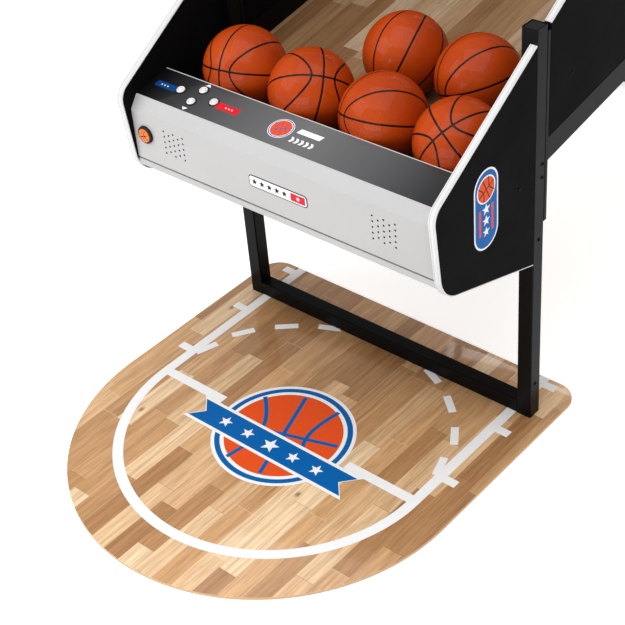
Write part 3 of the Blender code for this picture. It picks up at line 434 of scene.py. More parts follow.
def court_wood(name, stops, coat):
    """Printed court: staves along Y with their own tone, length and grain, under a clear coat."""
    look = Look(name, (0.5, 0.35, 0.2, 1.0), 0.42, Coat_Weight=coat, Coat_Roughness=0.06,
                Specular_IOR_Level=0.25)
    x, y = look.axes()[:2]
    across = look.math("DIVIDE", look.math("ADD", x, STAVE_W * 40.43), STAVE_W)
    column = look.math("FLOOR", across)
    column_hash = look.node("TexWhiteNoise", {"noise_dimensions": "1D"}, W=column).outputs["Value"]
    length = look.span(column_hash, 0.0, 1.0, 0.21, 0.40)
    lengths_in = look.math("DIVIDE", look.math("ADD", y, 20.0), length)
    along = look.math("ADD", lengths_in, look.times(column_hash, 7.31))
    cell = look.node("CombineXYZ", X=column, Y=look.math("FLOOR", along)).outputs[0]
    stave = look.node("TexWhiteNoise", {"noise_dimensions": "2D"}, Vector=cell).outputs
    tone = look.tones(stave["Value"], stops)
    # grain runs along the stave; each stave reads it at its own depth
    deep = look.times(stave["Value"], 40.0)
    depth = look.node("CombineXYZ", X=look.times(x, 30.0), Y=look.times(y, 1.5), Z=deep).outputs[0]
    fine = look.noise(9.0, 4.0, depth, 0.3)
    grain = look.math("ADD", look.times(look.noise(1.7, 6.0, depth, 1.1), 0.5), look.times(fine, 0.5))
    shaded = look.mottle(grain, (0.76, 0.71, 0.65, 1.0), (1.12, 1.12, 1.12, 1.0), 0.38, 0.63)
    colour = look.blend(1.0, tone, shaded, "MULTIPLY")
    # bowed growth rings show on some staves, and a few have a small knot
    figure = look.wave({"wave_type": "BANDS", "bands_direction": "X"}, depth, Scale=0.55,
                       Distortion=7.0, Detail=3.0, Detail_Scale=0.7)
    shown = look.span(stave["Color"], 0.45, 0.75, 0.10, 0.42)
    rings = look.times(look.span(figure, 0.55, 0.95), shown)
    colour = look.blend(rings, colour, look.blend(1.0, colour, (0.66, 0.56, 0.46, 1.0), "MULTIPLY"))
    knot = look.span(look.cells(3.9, look.stretched(1.0, 0.62, 1.0), "2D"), 0.010, 0.032, 1.0, 0.0)
    knot = look.times(knot, look.span(stave["Value"], 0.78, 0.80))
    colour = look.blend(look.times(knot, 0.7), colour, (0.10, 0.045, 0.02, 1.0))
    pores = look.span(look.noise(42.0, 2.0, depth), 0.66, 0.76)
    colour = look.blend(look.times(pores, 0.30), colour, (0.16, 0.09, 0.045, 1.0))
    # hairline between staves, dark in some columns and pale in others
    side, end = [look.math("ABSOLUTE", look.math("SUBTRACT", look.math("FRACT", count), 0.5))
                 for count in (across, along)]
    joint = look.math("MAXIMUM", look.span(side, 0.484, 0.496), look.span(end, 0.4965, 0.4990))
    hairline = look.tones(column_hash, ((0.0, (0.10, 0.055, 0.03, 1.0)), (0.45, stops[-1][1])), "CONSTANT")
    colour = look.blend(look.times(joint, 0.5), colour, hairline)
    height = look.math("SUBTRACT", fine, look.times(joint, 0.8))
    return look.finish(colour, look.noise(9.0, 6.0), 0.34, 0.46, height, 0.00008)


# stave tones lie between a dark and a pale maple; the ramp's print is the same wood, greyed
MAPLE = ((0.0, srgb(177, 130, 85)), (0.5, srgb(217, 171, 122)), (1.0, srgb(247, 217, 178)))
GREYED = tuple((place, tuple(c * k for c, k in zip(colour, (0.50, 0.51, 0.55, 1.0))))
               for place, colour in MAPLE)


def ball_rubber():
    """Orange composite cover with pebbles, black seam channels and light scuffing."""
    look = Look("ball_rubber", srgb(174, 60, 8), 0.46, Coat_Weight=0.18, Coat_Roughness=0.04,
                Specular_IOR_Level=0.08)
    seam = look.node("Attribute", {"attribute_name": "seam_mm"}).outputs["Fac"]
    channel = look.span(seam, 2.15, 2.55, 1.0, 0.0)
    cover = look.mottle(look.noise(9.0, 5.0), srgb(164, 53, 6), srgb(181, 66, 10))
    scuff = look.span(look.noise(38.0, 6.0, distortion=1.2), 0.60, 0.74)
    cover = look.blend(look.times(scuff, 0.20), cover, srgb(136, 44, 8))
    pebbles = look.span(look.cells(430.0), 0.10, 0.62, 1.0, 0.0)
    height = look.times(pebbles, look.math("SUBTRACT", 1.0, channel))
    colour = look.blend(channel, cover, srgb(14, 8, 7))
    return look.finish(colour, look.noise(26.0, 4.0), 0.42, 0.55, height, 0.00026)


def deck_film():
    """Glossy overlay printed in grey that darkens towards both ends, with a light line at each edge."""
    look = Look("deck_film", (0.1, 0.1, 0.1, 1.0), 0.20, Coat_Weight=0.3, Coat_Roughness=0.06,
                Specular_IOR_Level=0.3)
    x, y = look.axes()[:2]
    reach = look.math("ABSOLUTE", look.math("SUBTRACT", x, 0.03))
    greys = ((0.0, srgb(106, 107, 108)), (0.45, srgb(82, 83, 85)), (0.8, srgb(40, 41, 43)),
             (1.0, srgb(16, 16, 18)))
    grey = look.tones(look.span(reach, 0.0, 0.46), greys)
    front_y, back_y = at(0, STRIP_TOP[0], 0).y, at(0, DECK_BACK[0], 0).y
    front = look.span(y, front_y + 0.0022, front_y + 0.0030, 1.0, 0.0)
    back = look.span(y, back_y - 0.0026, back_y - 0.0018)
    speckle = look.span(look.noise(1600.0, 1.0), 0.35, 0.65, 0.94, 1.06)
    specks = look.tones(speckle, ((0.9, (0.93, 0.93, 0.93, 1)), (1.0, (1, 1, 1, 1))))
    toned = look.blend(1.0, grey, specks, "MULTIPLY")
    colour = look.blend(look.math("MAXIMUM", front, back), toned, srgb(205, 206, 208))
    return look.finish(colour, look.noise(22.0, 5.0), 0.17, 0.27, look.noise(1800.0, 1.0), 0.000015)


def board_edge():
    """Edge of the floor board: thin plies under the print."""
    look = Look("board_edge", srgb(214, 180, 140), 0.55)
    ply = look.math("FRACT", look.times(look.axes()[2], 1.0 / 0.0024))
    layers = look.mottle(ply, srgb(222, 188, 148), srgb(176, 134, 96), 0.42, 0.58)
    fibres = look.span(look.noise(160.0, 4.0, look.stretched(1.0, 1.0, 6.0)), 0.3, 0.7, 0.86, 1.08)
    grey = look.node("CombineColor", Red=fibres, Green=fibres, Blue=fibres).outputs[0]
    colour = look.blend(1.0, layers, grey, "MULTIPLY")
    return look.finish(colour, look.noise(80.0), 0.48, 0.62, look.noise(300.0, 3.0), 0.00010)


def ink(name, colour):
    """Screen-printed ink under the same clear coat as what it is printed on."""
    look = Look(name, colour, 0.30, Coat_Weight=0.03, Coat_Roughness=0.10, Specular_IOR_Level=0.06)
    tone = look.mottle(look.noise(55.0, 6.0), shade(colour, 0.97), colour, 0.35, 0.65)
    return look.finish(tone, look.noise(12.0, 5.0), 0.26, 0.36, look.noise(900.0, 2.0), 0.00001)


def twisted_cord(name, colour, dark, pitch):
    """Laid nylon: fine strands winding across the cord, darker in the lay as painted shade."""
    look = Look(name, colour, 0.62, Sheen_Weight=0.25)
    strands = look.wave({"wave_type": "BANDS", "bands_direction": "DIAGONAL"}, Scale=1.0 / pitch,
                        Distortion=1.4, Detail=2.0)
    # the darker colour in the lay between strands is painted shade
    tone = look.mottle(strands, dark, colour, 0.15, 0.7)
    return look.finish(tone, look.noise(120.0), 0.55, 0.75, strands, 0.00025)


def circuit_board():
    """Green solder mask over copper tracks, with tinned pads."""
    look = Look("circuit_board", srgb(18, 92, 48), 0.35)
    tracks = look.node("TexBrick", Vector=look.where, Scale=90.0, Mortar_Size=0.10).outputs["Fac"]
    copper = look.blend(tracks, srgb(14, 82, 42), srgb(30, 118, 62))
    pads = look.span(look.cells(210.0), 0.16, 0.20, 1.0, 0.0)
    colour = look.blend(pads, copper, srgb(190, 190, 186))
    return look.finish(colour, look.noise(60.0), 0.28, 0.42, look.math("ADD", pads, tracks), 0.00008)


def zinc_plate():
    """Brushed zinc-plated steel."""
    look = Look("zinc_steel", srgb(196, 198, 200), 0.30, Metallic=1.0)
    brushed = look.noise(1.0, 4.0, look.stretched(900.0, 30.0, 900.0))
    tone = look.mottle(brushed, srgb(172, 175, 178), srgb(212, 213, 214))
    return look.finish(tone, look.noise(40.0, 4.0), 0.24, 0.40, brushed, 0.00002)


def smoked_lens():
    tint = (0.42, 0.34, 0.34, 1.0)
    look = Look("smoked_lens", tint, 0.06, Transmission_Weight=1.0, IOR=1.49)
    return look.finish(tint, look.noise(30.0, 5.0), 0.04, 0.10, look.noise(14.0, 2.0), 0.00004)


def segment_plastic():
    """Digit segments, glowing faintly."""
    look = Look("digit_segments", srgb(150, 26, 20), 0.35, Emission_Color=srgb(255, 60, 30),
                Emission_Strength=0.35)
    tone = look.mottle(look.noise(90.0), srgb(128, 20, 16), srgb(168, 36, 26))
    return look.finish(tone, look.noise(50.0), 0.30, 0.45, look.noise(800.0), 0.00002)


def speaker_paper():
    look = Look("speaker_paper", srgb(34, 34, 34), 0.75)
    rings = look.wave({"wave_type": "RINGS"}, Scale=40.0)
    tone = look.blend(look.noise(200.0), srgb(24, 24, 24), srgb(44, 43, 42))
    return look.finish(tone, look.noise(90.0), 0.65, 0.85, rings, 0.0003)


def black_laminate():
    """Satin black board facing: fine pressed texture with soft cloudy sheen."""
    look = Look("black_laminate", srgb(9, 9, 10), 0.62, Specular_IOR_Level=0.03)
    tone = look.mottle(look.noise(3.0, 5.0), srgb(8, 8, 9), srgb(13, 13, 14))
    pressed = look.noise(1.0, 3.0, look.stretched(900.0, 260.0, 900.0))
    return look.finish(tone, look.noise(10.0, 6.0), 0.58, 0.66, pressed, 0.00003)


BLACK_STEEL = paint("black_powder_coat", srgb(8, 8, 9), 0.26, 0.36, 700.0, 0.00006, Specular_IOR_Level=0.08)
ORANGE_STEEL = paint("orange_powder_coat", srgb(226, 92, 26), 0.24, 0.36, 600.0, 0.00006)
LAMINATE = black_laminate()
TRIM = plastic("white_edge_moulding", srgb(210, 210, 211), 0.30, 0.42)
FASCIA = paint("grey_fascia_paint", srgb(177, 176, 176), 0.34, 0.44, 900.0, 0.00003, 0.02)
COURT = court_wood("court_print", MAPLE, 0.50)
RAMP = court_wood("ramp_print", GREYED, 0.25)
PLY = board_edge()
DECK = deck_film()
BLACK_PLASTIC = plastic("black_plastic", srgb(20, 20, 21), 0.40, 0.46, Specular_IOR_Level=0.25)
WHITE_PLASTIC = plastic("white_button_plastic", srgb(236, 236, 234), 0.22, 0.32)
ORANGE_PLASTIC = plastic("orange_button_plastic", srgb(238, 118, 26), 0.18, 0.28)
RUBBER = ball_rubber()
WHITE_BOARD = paint("white_board_facing", srgb(234, 234, 232), 0.28, 0.33, 500.0, 0.00002, 0.006)
NYLON = twisted_cord("white_nylon_cord", srgb(238, 236, 230), srgb(186, 182, 172), 0.0040)
BLACK_CORD = twisted_cord("black_net_cord", srgb(22, 22, 24), srgb(9, 9, 10), 0.0026)
LENS = smoked_lens()
SEGMENT = segment_plastic()
CIRCUIT = circuit_board()
ZINC = zinc_plate()
SPEAKER = speaker_paper()
WHITE_INK = ink("white_ink", srgb(246, 246, 246))
BLUE_INK = ink("blue_ink", srgb(10, 98, 172))
NAVY_INK = ink("navy_ink", srgb(14, 66, 128))
RED_INK = ink("red_ink", srgb(214, 34, 48))
ORANGE_INK = ink("orange_ink", srgb(232, 84, 34))
DARK_INK = ink("dark_ink", srgb(26, 23, 23))
# grey laid in the button caps' grooves: painted shade
GROOVE_SHADE_GREY = ink("painted_groove_shade", srgb(120, 120, 122))


# ---- CAD nodes that stay ---------------------------------------------------------------------
def dress(look, *names):
    """Gives CAD nodes a finished material."""
    for name in names:
        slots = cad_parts[name].data.materials
        if slots:
            slots[0] = look
        else:
            slots.append(look)


def pair(name):
    return name + "_left", name + "_right"


def dress_frame():
    dress(BLACK_STEEL, *pair("front_post"), "front_foot_bar", "front_cross_bar", *pair("rear_post"),
          "rear_foot_bar", "top_cross_bar", *pair("side_rail"), "ramp_bearer", "cabinet_tray",
          *pair("net_frame"))
    dress(LAMINATE, *pair("lower_side_panel"), *pair("upper_side_panel"), "ball_stop", "rear_lower_panel")
    dress(FASCIA, "fascia", "fascia_lip")
    dress(DECK, "control_panel")
    dress(RAMP, "ramp_board")
    dress(BLACK_PLASTIC, *pair("post_cap"), "keypad_frame", "scoreboard_housing", "power_inlet",
          "power_rocker", "score_lever")
    dress(ORANGE_STEEL, "rim_bracket")
    dress(WHITE_BOARD, "backboard")
    dress(LENS, "scoreboard_lens")
    dress(CIRCUIT, "control_board", "display_board")
    dress(ZINC, "lever_bracket")
    dress(SPEAKER, *pair("speaker"))


# ---- prints that come back in several places ---------------------------------------------------
def seam_films(name, centre, radius, width, spin, place, look, level):
    for number, quads in enumerate(ball_seams(centre, radius, width, spin)):
        film(f"{name}_seam_{number + 1}", quads, place, look, level + 0.1 * number)


def emblem(name, centre, radius, place, level, spin):
    """A generic ball roundel: rings of white and blue round an orange ball with blue seams."""
    rings = (("rim", 1.0, WHITE_INK), ("ring", 0.950, BLUE_INK), ("gap", 0.875, WHITE_INK),
             ("ball", 0.820, ORANGE_INK))
    for step, (part, share, look) in enumerate(rings):
        film(f"{name}_{part}", [circle(centre, radius * share, 96)], place, look, level + step)
    seam_films(name, centre, radius * 0.820, radius * 0.060, spin, place, BLUE_INK, level + len(rings))


# ---- floor board -----------------------------------------------------------------------------
def build_floor_board():
    edge, corner_y = BOARD_HALF_W - BOARD_CORNER_R, BOARD_BACK_Y - BOARD_CORNER_R
    outline = arc((edge, corner_y), BOARD_CORNER_R, 0, 90, 16)
    outline += arc((-edge, corner_y), BOARD_CORNER_R, 90, 180, 16)
    outline += arc((0.0, BOARD_ROUND_Y), BOARD_HALF_W, 180, 360, 144)
    ease = 0.0012
    levels = ((ease, 0.0), (0.0, ease), (0.0, BOARD_T - 2 * ease), (0.35 * ease, BOARD_T - 0.5 * ease),
              (1.2 * ease, BOARD_T))
    bm = bmesh.new()
    rings = []
    for inset, height in levels:
        moved = offset_path([outline[-1], *outline, outline[0]], inset)[1:-1]
        rings.append([bm.verts.new((p.x, p.y + DATUM.y, height)) for p in moved])
    skin(bm, rings, caps=True)
    for face in bm.faces:
        face.material_index = 0 if face.calc_center_median().z > BOARD_T - 0.75 * ease else 1
    piece("floor_board", bm, COURT, PLY, stands_for="floor_mat", slot="court_wood")


def ribbon_outline(centre, half_a, half_b):
    """A banner with swallow-tail ends."""
    cx, cy = centre
    notch = half_b * 0.9
    return [(cx - half_a, cy - half_b), (cx + half_a, cy - half_b), (cx + half_a - notch, cy),
            (cx + half_a, cy + half_b), (cx - half_a, cy + half_b), (cx - half_a + notch, cy)]


def build_court_print():
    """White court lines, and a generic ball emblem with a starred ribbon."""
    top = Matrix.Translation((0.0, DATUM.y, BOARD_T))
    line, lane, back_y = 0.027, 0.4125, BOARD_BACK_Y - 0.0015
    inner, outer = lane - line / 2, lane + line / 2
    key = (0.0, -0.400)
    throw_y = key[1] + 0.003
    parts = [ribbon([(-lane, back_y), *arc(key, lane, 180, 360, 96), (lane, back_y)], line)]
    for side in (-1, 1):
        parts.append([rect(side * inner, throw_y - line / 2, side * 0.205, throw_y + line / 2)])
        for mark_y in (-0.296, -0.079, 0.128):
            parts.append([rect(side * outer, mark_y - 0.012, side * (outer + 0.034), mark_y + 0.012)])
    for spot in arc(key, 0.428, 18, 162, 9):
        middle = Vector(spot)
        along = Vector((key[1] - middle.y, middle.x)).normalized() * 0.032
        if abs(middle.x) > lane - 0.020:
            middle.x = math.copysign(lane - 0.022, middle.x)
        parts.append(ribbon([middle - along, middle + along], 0.020))
    for number, quads in enumerate(parts):
        film(f"court_line_{number + 1:02d}", quads, top, WHITE_INK, level=0 if number else 1)
    x, y = 0.008, -0.405
    emblem("court_emblem", (x, y), 0.183, top, 2, 18.0)
    band = (x, y - 0.050)
    film("court_ribbon_edge", [ribbon_outline(band, 0.262, 0.044)], top, WHITE_INK, 7)
    film("court_ribbon", [ribbon_outline(band, 0.251, 0.035)], top, BLUE_INK, 8)
    stars = [star((x + 0.075 * k, band[1]), 0.019 if k else 0.025) for k in range(-2, 3)]
    film("court_ribbon_stars", stars, top, WHITE_INK, 9)


# ---- side panels' mouldings and decals --------------------------------------------------------
def moulding(name, path, side, stands_for):
    """Edge moulding pushed onto a panel: a crowned strip with a small bead along each side."""
    across = [(0.0, 0.0), (0.0, 0.55), (0.0004, 0.80), (0.0012, 0.96), (0.0024, 1.0), (0.0033, 0.97),
              (0.0037, 0.55), (0.0045, 0.55), (0.0049, 0.90), (0.0090, 0.95)]
    across += [(PANEL_T - u, share) for u, share in reversed(across[:-1])]
    panel_x = PANEL_INNER_X if side > 0 else -HALF_W
    bm = bmesh.new()
    rings = []
    for crown, foot in zip(path, offset_path(path, TRIM_T)):
        spots = [(u, foot.lerp(crown, share)) for u, share in across]
        rings.append([bm.verts.new(at(panel_x + u, spot.x, spot.y)) for u, spot in spots])
    skin(bm, rings, caps=True)
    piece(name, bm, TRIM, stands_for=stands_for, slot="trim_white")


def build_mouldings():
    low = round_path(LOW_CORNERS, LOW_RADII, 24)[::-1]
    panel_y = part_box("upper_side_panel_left")[0].y - DATUM.y
    corners = [(REAR_Y - GAP, PANEL_REAR_TOP), (KNEE_Y, KNEE_Z), (panel_y, TOP_0 + TOP_SLOPE * panel_y)]
    up = round_path(corners, (0.0, 0.20, 0.0), 24)
    for name, side in SIDES:
        moulding(f"lower_moulding_{name}", low, side, f"lower_edge_trim_{name}")
        moulding(f"upper_moulding_{name}", up, side, f"upper_edge_trim_{name}")


def build_side_decals():
    """Tall generic badge on the outside of each lower side panel."""
    middle, ball = (0.0, 0.0), (0.0, 0.050)
    layers = (("edge", pill(middle, 0.0435, 0.1000, 0.0433, 16), WHITE_INK),
              ("field", pill(middle, 0.0390, 0.0955, 0.0388, 16), BLUE_INK),
              ("halo", circle(ball, 0.0330), WHITE_INK), ("ball", circle(ball, 0.0295), ORANGE_INK))
    stars = [star((0.0, 0.0005 - 0.0285 * k), 0.0150 - 0.0012 * k) for k in range(3)]
    for side_name, side in SIDES:
        name = f"side_badge_{side_name}"
        place = stand(at(side * HALF_W, -0.183, 0.7215), turn(side * 90, "Z") @ TO_FRONT)
        for level, (part, outline, look) in enumerate(layers):
            film(f"{name}_{part}", [outline], place, look, level)
        seam_films(name, ball, 0.0295, 0.0024, 25, place, DARK_INK, len(layers))
        film(f"{name}_stars", stars, place, WHITE_INK, 2)
        for end in (-1, 1):
            bar = rect(end * 0.0190, -0.0600, end * 0.0260, 0.0060)
            film(f"{name}_bar_{'front' if end * side < 0 else 'rear'}", [bar], place, ORANGE_INK, 2)


# ---- cabinet front ---------------------------------------------------------------------------
def build_fascia():
    """Folded fascia with soft creases, two groups of sound holes and the start button's hole; the sound
    holes' walls are black as painted shade.
    """
    path = [STRIP_TOP, CREASE, (FASCIA_Y, FASCIA_LOW), (FASCIA_Y + FLANGE, FASCIA_LOW)]
    outer = round_path(path, (0.0, 0.0045, 0.0030, 0.0), 8)
    inner = offset_path(outer, SHEET)
    # the top edge is cut square to the control panel
    cut = Vector((math.sin(TILT), -math.cos(TILT)))
    slant = abs((Vector(CREASE) - Vector(STRIP_TOP)).normalized().cross(cut))
    inner[0] = Vector(STRIP_TOP) + cut * (SHEET / slant)
    half = PANEL_INNER_X - GAP
    bm = bmesh.new()
    prism(bm, outer + inner[::-1], ALONG_X, -half, half)
    sheet_metal = piece("fascia_panel", bm, FASCIA, stands_for="fascia", slot="fascia_grey")
    centres = [Vector((side * SPEAKER_X + x, SPEAKER_Z + z)) for side in (-1, 1) for x, z in grille()]
    holes = bmesh.new()
    for (x, z), radius, steps in [((START_X, START_Z), 0.0204, 48), *[(c, 0.0026, 16) for c in centres]]:
        drill = [(0.0, -0.006), (radius, -0.006), (radius, 0.006), (0.0, 0.006)]
        turned(holes, drill, steps, stand(at(x, FASCIA_Y, z), TO_FRONT))
    cut_holes(sheet_metal, holes)
    # the sound holes' walls take the black plastic: painted shade inside the holes
    sheet_metal.data.materials.append(BLACK_PLASTIC)
    for face in sheet_metal.data.polygons:
        middle = Vector((face.center.x, face.center.z - DATUM.z))
        if abs(face.normal.y) < 0.1 and min((middle - spot).length for spot in centres) < 0.0029:
            face.material_index = 1


def grille():
    """Centres of a speaker's sound holes: staggered columns of five and four."""
    column_pitch, row_pitch = 0.0155, 0.0148
    spots = []
    for column in range(5):
        count = 5 - column % 2
        spots += [((column - 2) * column_pitch, (row - (count - 1) / 2) * row_pitch) for row in range(count)]
    return spots


def cut_holes(obj, holes):
    """Cuts holes through a piece and keeps the result as its mesh."""
    cutter = add_object("drill", to_mesh("drill", holes))
    mod = obj.modifiers.new("holes", "BOOLEAN")
    mod.operation = "DIFFERENCE"
    mod.solver = "EXACT"
    mod.object = cutter
    bpy.context.view_layer.update()
    evaluated = obj.evaluated_get(bpy.context.evaluated_depsgraph_get())
    cut_mesh = bpy.data.meshes.new_from_object(evaluated)
    obj.modifiers.clear()
    obj.data = cut_mesh
    smooth(cut_mesh)
    bpy.data.objects.remove(cutter)


def deck_place(x, y, height=0.0):
    """Matrix on the control panel's surface, its Z square to the panel."""
    z = STRIP_TOP[1] + (y - STRIP_TOP[0]) * math.tan(TILT)
    return stand(at(x, y, z), Matrix.Rotation(TILT, 4, "X")) @ Matrix.Translation((0.0, 0.0, height))


def build_deck_print():
    """Colour tabs, arrows and a generic emblem printed on the control panel."""
    middle = deck_place(0.0, -0.2605)
    film("select_tab", [pill((-0.400, 0.0), 0.0330, 0.0095, 0.0050)], middle, NAVY_INK)
    film("game_tab", [pill((-0.200, 0.0), 0.0350, 0.0105, 0.0030)], middle, RED_INK)
    for name, x in (("select", -0.414), ("game", -0.205)):
        dots = [circle((x + 0.0095 * k, 0.0), 0.0021, 20) for k in range(3)]
        film(f"{name}_tab_dots", dots, middle, WHITE_INK, 1)
    arrow = [(-0.0085, -0.0035), (0.0085, -0.0035), (0.0, 0.0055)]
    film("up_arrow", [[(x - 0.300, y + 0.0455) for x, y in arrow]], middle, WHITE_INK)
    film("down_arrow", [[(x - 0.300, -0.0440 - y) for x, y in arrow[::-1]]], middle, WHITE_INK)
    emblem("deck_emblem", (-0.036, 0.002), 0.0320, middle, 0, 25.0)
    stripe = [(0.006, 0.0060), (0.072, 0.0060), (0.0765, 0.0210), (0.0105, 0.0210)]
    film("deck_stripes", [stripe], middle, WHITE_INK)
    chevron = [(0.0, -0.0250), (0.0070, -0.0250), (0.0115, -0.0170), (0.0070, -0.0090), (0.0, -0.0090),
               (0.0045, -0.0170)]
    chevrons = [[(x + 0.006 + 0.0140 * k, y) for x, y in chevron] for k in range(5)]
    film("deck_chevrons", chevrons, middle, WHITE_INK)


def build_badge():
    """Plate on the fascia: white pill with a dark outline, dark stars and a red block, no lettering."""
    place = stand(at(0.0120, FASCIA_Y, 0.6860), TO_FRONT)
    thick = 0.0008
    bm = bmesh.new()
    prism(bm, pill((0, 0), 0.0875, 0.0155, 0.0090), place, 0.0, thick)
    edge = piece("badge_plate", bm, DARK_INK).modifiers.new("edge_round", "BEVEL")
    edge.width, edge.segments = 0.0003, 2
    edge.limit_method, edge.angle_limit = "ANGLE", math.radians(40)
    face = place @ Matrix.Translation((0.0, 0.0, thick))
    film("badge_face", [pill((0, 0), 0.0851, 0.0131, 0.0067)], face, WHITE_INK)
    film("badge_block", [pill((0.0600, 0.0), 0.0215, 0.0102, 0.0020)], face, RED_INK, 1)
    film("badge_stars", [star((-0.0700 + 0.0225 * k, 0.0), 0.0092) for k in range(5)], face, DARK_INK, 1)
    film("badge_block_star", [star((0.0605, 0.0), 0.0065)], face, WHITE_INK, 2)


def build_buttons():
    """Small dished caps on their own bodies, each with a grey ring of painted shade laid in its groove."""
    cap = ((0.0, 0.0046), (0.0020, 0.0047), (0.0044, 0.0046), (0.0054, 0.0041), (0.0064, 0.0041),
           (0.0072, 0.0048), (0.0082, 0.0050), (0.0092, 0.0045), (0.0100, 0.0037), (0.0105, 0.0028),
           (0.0108, 0.0018), (0.0108, -0.0060), (0.0050, -0.0060), (0.0050, -0.0100), (0.0, -0.0100))
    spots = {"select_button": (-0.354, -0.257), "up_button": (-0.300, -0.235),
             "down_button": (-0.300, -0.279), "game_button": (-0.246, -0.257)}
    for name, (x, y) in spots.items():
        bm = bmesh.new()
        turned(bm, cap)
        piece(f"{name}_cap", bm, WHITE_PLASTIC, body=name, stands_for=name, slot="plastic_white",
              matrix=deck_place(x, y))
        # a grey film on the floor of each cap's groove: painted shade in the groove
        ring = ribbon(circle((0.0, 0.0), 0.0059, 40), 0.0008, looped=True)
        film(f"{name}_ring", ring, deck_place(x, y, 0.0041), GROOVE_SHADE_GREY, 0, name)


def build_start_button():
    """The large start button in its bezel, its dome marked with ball seams."""
    facing = stand(at(START_X, FASCIA_Y, START_Z), TO_FRONT)
    bezel = ((0.0, -0.0290), (0.0200, -0.0290), (0.0200, GAP), (0.0228, GAP), (0.0228, 0.0042),
             (0.0224, 0.0056), (0.0216, 0.0068), (0.0206, 0.0075), (0.0196, 0.0078), (0.0188, 0.0077),
             (0.0184, 0.0072), (0.0184, -0.0270), (0.0, -0.0270))
    bm = bmesh.new()
    turned(bm, bezel, 64)
    piece("start_barrel", bm, BLACK_PLASTIC, stands_for="start_bezel", slot="plastic_black", matrix=facing)
    radii = (0.0, 0.003, 0.006, 0.009, 0.0115, 0.0135, 0.0150, 0.0162, 0.0170)
    cap = [(r, start_dome(r)) for r in radii]
    cap += [(0.0174, 0.0084), (0.0175, 0.0078), (0.0175, -0.0140), (0.0060, -0.0140), (0.0060, -0.0215),
            (0.0, -0.0215)]
    bm = bmesh.new()
    turned(bm, cap, 64)
    piece("start_cap", bm, ORANGE_PLASTIC, body="start_button", stands_for="start_button",
          slot="plastic_orange", matrix=facing)
    for number, quads in enumerate(ball_seams((0.0, 0.0), 0.0150, 0.0017, 20)):
        fine = [strip for quad in quads for strip in sliced(quad, 6 if number > 1 else 40)]
        film(f"start_cap_seam_{number + 1}", fine, facing, DARK_INK, 0.3 + 0.1 * number, "start_button",
             lambda x, y: start_dome(math.hypot(x, y)))


def start_dome(radius):
    """Height of the start button's domed top."""
    return 0.0125 - 0.0036 * (radius / 0.0172) ** 2.2


def sliced(quad, count):
    """A quad cut across into strips, so that it can follow a curved surface."""
    a, b, c, d = [Vector(p[:2]) for p in quad]
    cuts = [(a.lerp(b, k / count), d.lerp(c, k / count)) for k in range(count + 1)]
    return [(low, next_low, next_high, high) for (low, high), (next_low, next_high) in zip(cuts, cuts[1:])]


# ---- fasteners -------------------------------------------------------------------------------
def screws(bm, places, facing, radius=0.0048, height=0.0024):
    """Button-head screws with a round socket."""
    dome = [(0.0, -0.0004), (radius, -0.0004), (radius, height * 0.25), (radius * 0.92, height * 0.62),
            (radius * 0.72, height * 0.92), (radius * 0.50, height), (radius * 0.46, height * 0.98),
            (radius * 0.44, height * 0.40), (0.0, height * 0.40)]
    for place in places:
        turned(bm, dome, 18, stand(place, facing))


def build_fasteners():
    post_bolts = [(0.030, 0.723), (0.030, 0.688), (0.022, 0.526), (0.020, 0.100)]
    post_bolts += [(REAR_Y + 0.020, z) for z in (0.880, 1.010, 1.260, 1.500, 1.780, 0.012)]
    panel_screws = ((-0.059, 0.705), (0.140, 0.900), (0.760, 1.060), (1.380, 1.150))
    bm = bmesh.new()
    for side, facing in TO_SIDE.items():
        screws(bm, [at(side * HALF_W, y, z) for y, z in post_bolts], facing)
        screws(bm, [at(side * HALF_W, y, z) for y, z in panel_screws], facing, 0.0038, 0.0018)
    piece("frame_bolts", bm, BLACK_STEEL)

    board_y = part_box("backboard")[0].y
    low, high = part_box("rim_bracket")
    lever_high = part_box("lever_bracket")[1]
    bm = bmesh.new()
    for side in (-1, 1):
        screws(bm, [(side * 0.420, board_y, z + DATUM.z) for z in (1.235, 1.555, 1.870)], TO_FRONT,
               0.0045, 0.0020)
        screws(bm, [(side * 0.046, high.y - 0.004, z) for z in (low.z + 0.016, high.z - 0.016)], TO_FRONT,
               0.0062, 0.0032)
        screws(bm, [(side * 0.022, lever_high.y - 0.003, lever_high.z - 0.007)], TO_FRONT, 0.0036, 0.0018)
    piece("backboard_bolts", bm, ZINC)

    low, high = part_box("scoreboard_housing")
    bm = bmesh.new()
    for side, facing in TO_SIDE.items():
        screws(bm, [(side * high.x, high.y - 0.020, z) for z in (low.z + 0.020, high.z - 0.020)], facing,
               0.0036, 0.0018)
        screws(bm, [(side * x, high.y - 0.0002, low.z + 0.012) for x in (0.06, 0.20, 0.40)], TO_REAR,
               0.0032, 0.0002)
    piece("housing_screws", bm, BLACK_STEEL)


# ---- balls -----------------------------------------------------------------------------------
def seam_distance(directions, radius):
    """Distance from unit directions to the nearest seam: two great circles and two bowed loops."""
    x, z = directions[:, 0], directions[:, 2]
    near = np.minimum(np.abs(np.arcsin(np.clip(x, -1, 1))), np.abs(np.arcsin(np.clip(z, -1, 1))))
    # the bowed loops are where x² - bow z² = reach
    reach, bow = 0.072, 0.860
    off = x ** 2 - bow * z ** 2 - reach
    along = 2 * x ** 2 - 2 * bow * z ** 2
    slope = np.sqrt(np.maximum(4 * x ** 2 + 4 * bow * bow * z ** 2 - along ** 2, 1e-4))
    return np.minimum(near, np.abs(off) / slope) * radius


